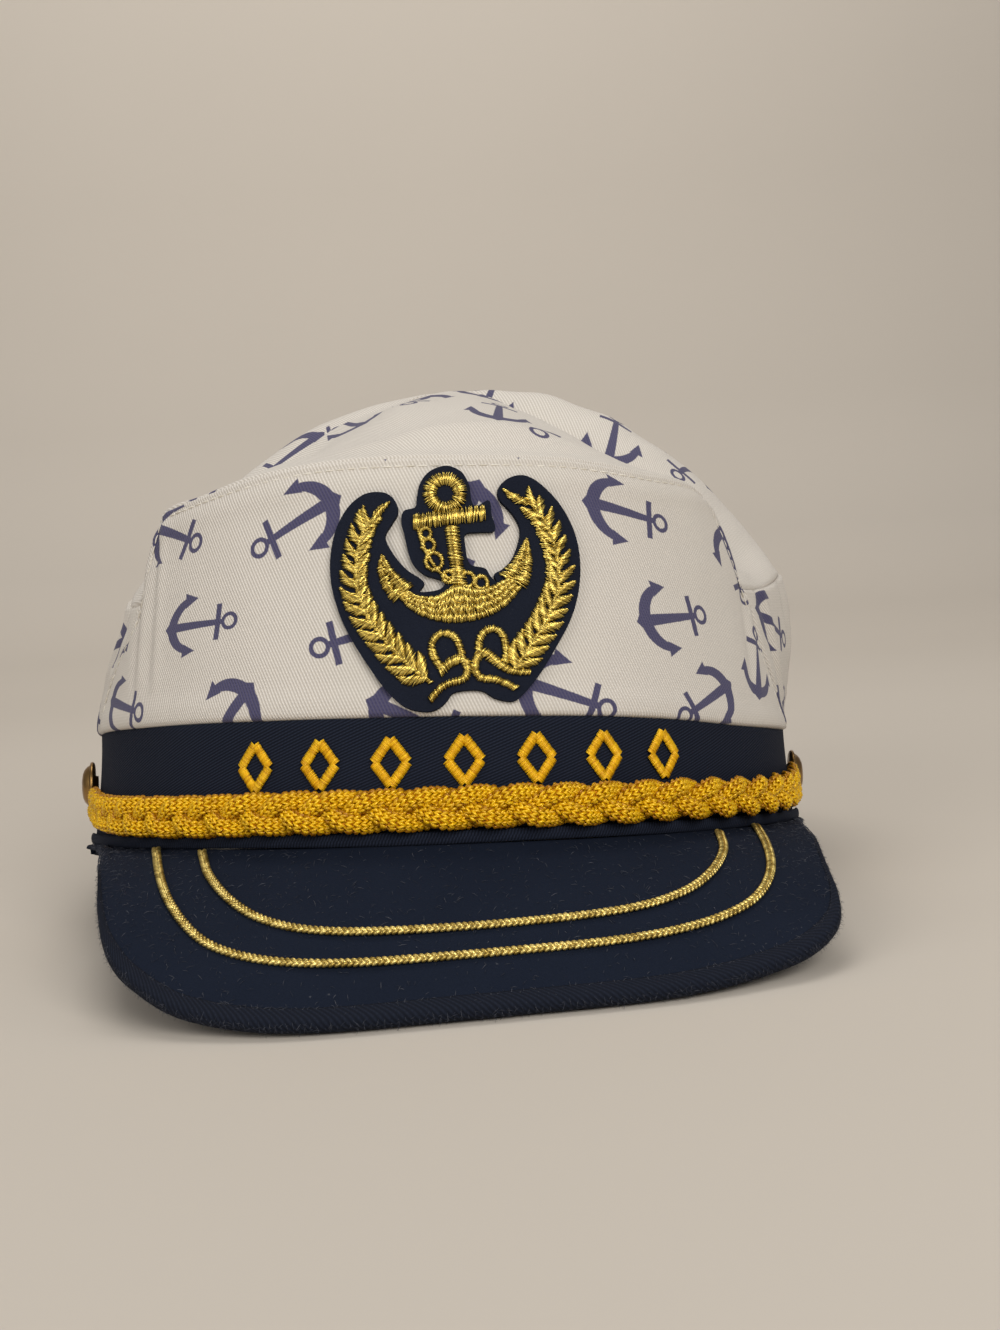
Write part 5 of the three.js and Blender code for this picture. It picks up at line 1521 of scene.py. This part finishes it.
# Each row: its name, what turns it from the edge, the distances from it, and the ends left bare
front_stitches = []
for name, seed, lift, bare, axis, step, away in (
        ("top", 81, -0.17, 6, 1, np.s_[:, ::-1], from_top),
        ("left_side", 82, -0.12, 3, 0, np.s_[:, :], from_left),
        ("right_side", 82, -0.12, 3, 0, np.s_[::-1], from_right)):
    line, ups = (inset_line(points[step], away[step], STITCH_INSET, axis)[bare:-bare]
                 for points in (front, front_normal))
    front_stitches.append(stitch_row(f"front_{name}_stitches", line, ups, seed, lift))

# Lint and loose fibres on the brushed visor

fibre = small_tube("felt_fibre", 3, 3, 0.4, 3.0)
chance = np.random.default_rng(91)


def fibre_sizes(shortest, longest, thick, count):
    return np.stack([chance.uniform(shortest, longest, count), np.full(count, thick),
                     np.full(count, thick)], -1)


LINT_COUNT = 4000
lint_way = chance.uniform(-0.97, 0.97, LINT_COUNT)
lint_in = np.where(chance.uniform(0, 1, LINT_COUNT) < 0.35, chance.uniform(0.0, 0.06, LINT_COUNT),
                   chance.uniform(0.02, 0.98, LINT_COUNT))
lint_place = visor_surface(lint_way, lint_in)
lint_up = normals_of(visor_surface, lint_way, lint_in)
lying = square_to(lint_up, chance.normal(size=(LINT_COUNT, 3)), 0.75)
lint_sizes = fibre_sizes(0.4, 1.7, 0.046, LINT_COUNT)
lint = set_copies("visor_lint", fibre, lint_place + lint_up * 0.16, lying, lint_up, lint_sizes,
                  lint_thread, 92, shade=chance.uniform(0, 1, LINT_COUNT) ** 3)

FUZZ_COUNT = 1500
fuzz_at = chance.integers(0, len(bound), FUZZ_COUNT)
fuzz_way = unit(edge_out[fuzz_at] + chance.normal(0, 0.75, (FUZZ_COUNT, 3)))
fuzz_place = tape_middle[fuzz_at] + edge_out[fuzz_at] * chance.uniform(0.7, 1.25, (FUZZ_COUNT, 1))
fuzz_place += edge_up[fuzz_at] * chance.uniform(-0.9, 1.3, (FUZZ_COUNT, 1))
edge_fuzz = set_copies("visor_edge_fuzz", fibre, fuzz_place, fuzz_way, edge_up[fuzz_at],
                       fibre_sizes(0.7, 2.0, 0.030, FUZZ_COUNT), lint_thread, 93,
                       shade=chance.uniform(0, 0.6, FUZZ_COUNT))

for small in (thread, stitch, link, yarn, fibre):
    bpy.data.objects.remove(small)

# What each piece stands for

for piece, *nodes in (
        (front_piece, "front_panel"), (back_piece, "back_panel"), (top_piece, "top_panel"),
        (band_piece, "band"), (strip_piece, "visor_seam_strip"), (visor_piece, "visor"),
        (tape, "visor_binding"), (outer_chain, "visor_cord_outer"),
        (inner_chain, "visor_cord_inner"),
        *((strand, f"braid_strand_{index + 1}") for index, strand in enumerate(strands)),
        (buttons[0], "button_right"), (buttons[1], "button_left"), (felt, "patch_backing"),
        (anchor_piece, "patch_anchor"), (left_branch, "patch_wreath_left"),
        (right_branch, "patch_wreath_right"), (bow_piece, "patch_bow"),
        (lozenge_piece, *(f"band_motif_{index + 1}" for index in range(MOTIF_COUNT)))):
    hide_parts(*nodes)

SLOTS = {
    "white_twill": [front_piece, back_piece, top_piece, *front_stitches],
    "navy_twill": [band_piece, strip_piece, tape],
    "navy_felt": [visor_piece, felt, lint, edge_fuzz],
    "gold_thread": [outer_chain, inner_chain, anchor_piece, left_branch, right_branch, bow_piece],
    "yellow_cord": [*strands, *loops],
    "yellow_thread": [lozenge_piece],
    "brass": buttons,
}
for slot, pieces in SLOTS.items():
    for piece in pieces:
        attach(piece, "root")


# Floor, backdrop, light and camera


def stage_finish(name, colour):
    finish = Finish(name, Roughness=0.75, Specular_IOR_Level=0.2)
    mottle = finish.noise(3.0, 4.0)
    finish.feed(Base_Color=finish.blend([c * 0.96 for c in colour[:3]] + [1], colour, mottle))
    return finish


WALL_DISTANCE = 1.3
# The sweep in section from near to far: how far back and how high
floor_profile = [(-2.2, 0.0), (0.7, 0.0), (1.0, 0.02), (1.18, 0.10), (1.27, 0.25),
                 (WALL_DISTANCE, 0.5), (WALL_DISTANCE, 2.6)]
stage_mesh = bpy.data.meshes.new("pale_sweep")
stage_mesh.from_pydata([(x, y, z) for y, z in floor_profile for x in (-3.0, 3.0)], [],
                       [(2 * i, 2 * i + 1, 2 * i + 3, 2 * i + 2)
                        for i in range(len(floor_profile) - 1)])
stage_mesh.materials.append(stage_finish("pale_paper", (0.60, 0.55, 0.485, 1)).material)
set_smooth(stage_mesh)
new_piece("pale_sweep", stage_mesh)


def soft_light(name, place, target, size, power, colour):
    data = bpy.data.lights.new(name, "AREA")
    data.shape = "RECTANGLE"
    data.size, data.size_y = size
    data.energy, data.color = power, colour
    light = bpy.data.objects.new(name, data)
    light.location = place
    light.rotation_euler = (Vector(target) - Vector(place)).to_track_quat("-Z", "Y").to_euler()
    bpy.context.scene.collection.objects.link(light)


soft_light("key_front", (0.38, -1.15, 0.78), (0, 0, 0.06), (0.9, 0.7), 12.0, (1.0, 0.97, 0.925))
soft_light("fill_left", (-0.95, -0.85, 0.62), (0, 0, 0.06), (0.8, 0.8), 4.9, (1.0, 0.97, 0.93))
soft_light("overhead", (-0.05, 0.15, 1.25), (0, 0, 0.05), (0.7, 0.5), 3.0, (1.0, 0.97, 0.93))
soft_light("backdrop_light", (0.0, 0.45, 1.30), (0, 1.3, 0.55), (1.6, 0.4), 7.5, (1.0, 0.965, 0.92))

world = bpy.data.worlds.new("studio")
world.use_nodes = True
world.node_tree.nodes["Background"].inputs[0].default_value = (0.97, 0.97, 1.0, 1)
world.node_tree.nodes["Background"].inputs[1].default_value = 0.20
bpy.context.scene.world = world
bpy.context.scene.view_settings.view_transform = "Standard"
bpy.context.scene.view_settings.look = "None"

yaw, pitch, roll = (math.radians(value) for value in (EYE_YAW, EYE_PITCH, EYE_ROLL))
look = np.array([math.sin(yaw) * math.cos(pitch), math.cos(yaw) * math.cos(pitch), math.sin(pitch)])
level = np.array([math.cos(yaw), -math.sin(yaw), 0.0])
upright = np.cross(level, look)
right_way = math.cos(roll) * level + math.sin(roll) * upright
up_way = -math.sin(roll) * level + math.cos(roll) * upright
axes = np.stack([turned(right_way), turned(up_way), -turned(look)], -1)
camera_data = bpy.data.cameras.new("photo_view")
camera_data.sensor_width = SENSOR_WIDTH
camera_data.lens = LENS
camera_data.clip_start = 0.01
camera = bpy.data.objects.new("photo_view", camera_data)
bpy.context.scene.collection.objects.link(camera)
eye_place = Matrix.Translation(Vector(placed(np.array(EYE)).tolist()))
camera.matrix_world = eye_place @ Matrix(axes.tolist()).to_4x4()
bpy.context.scene.camera = camera
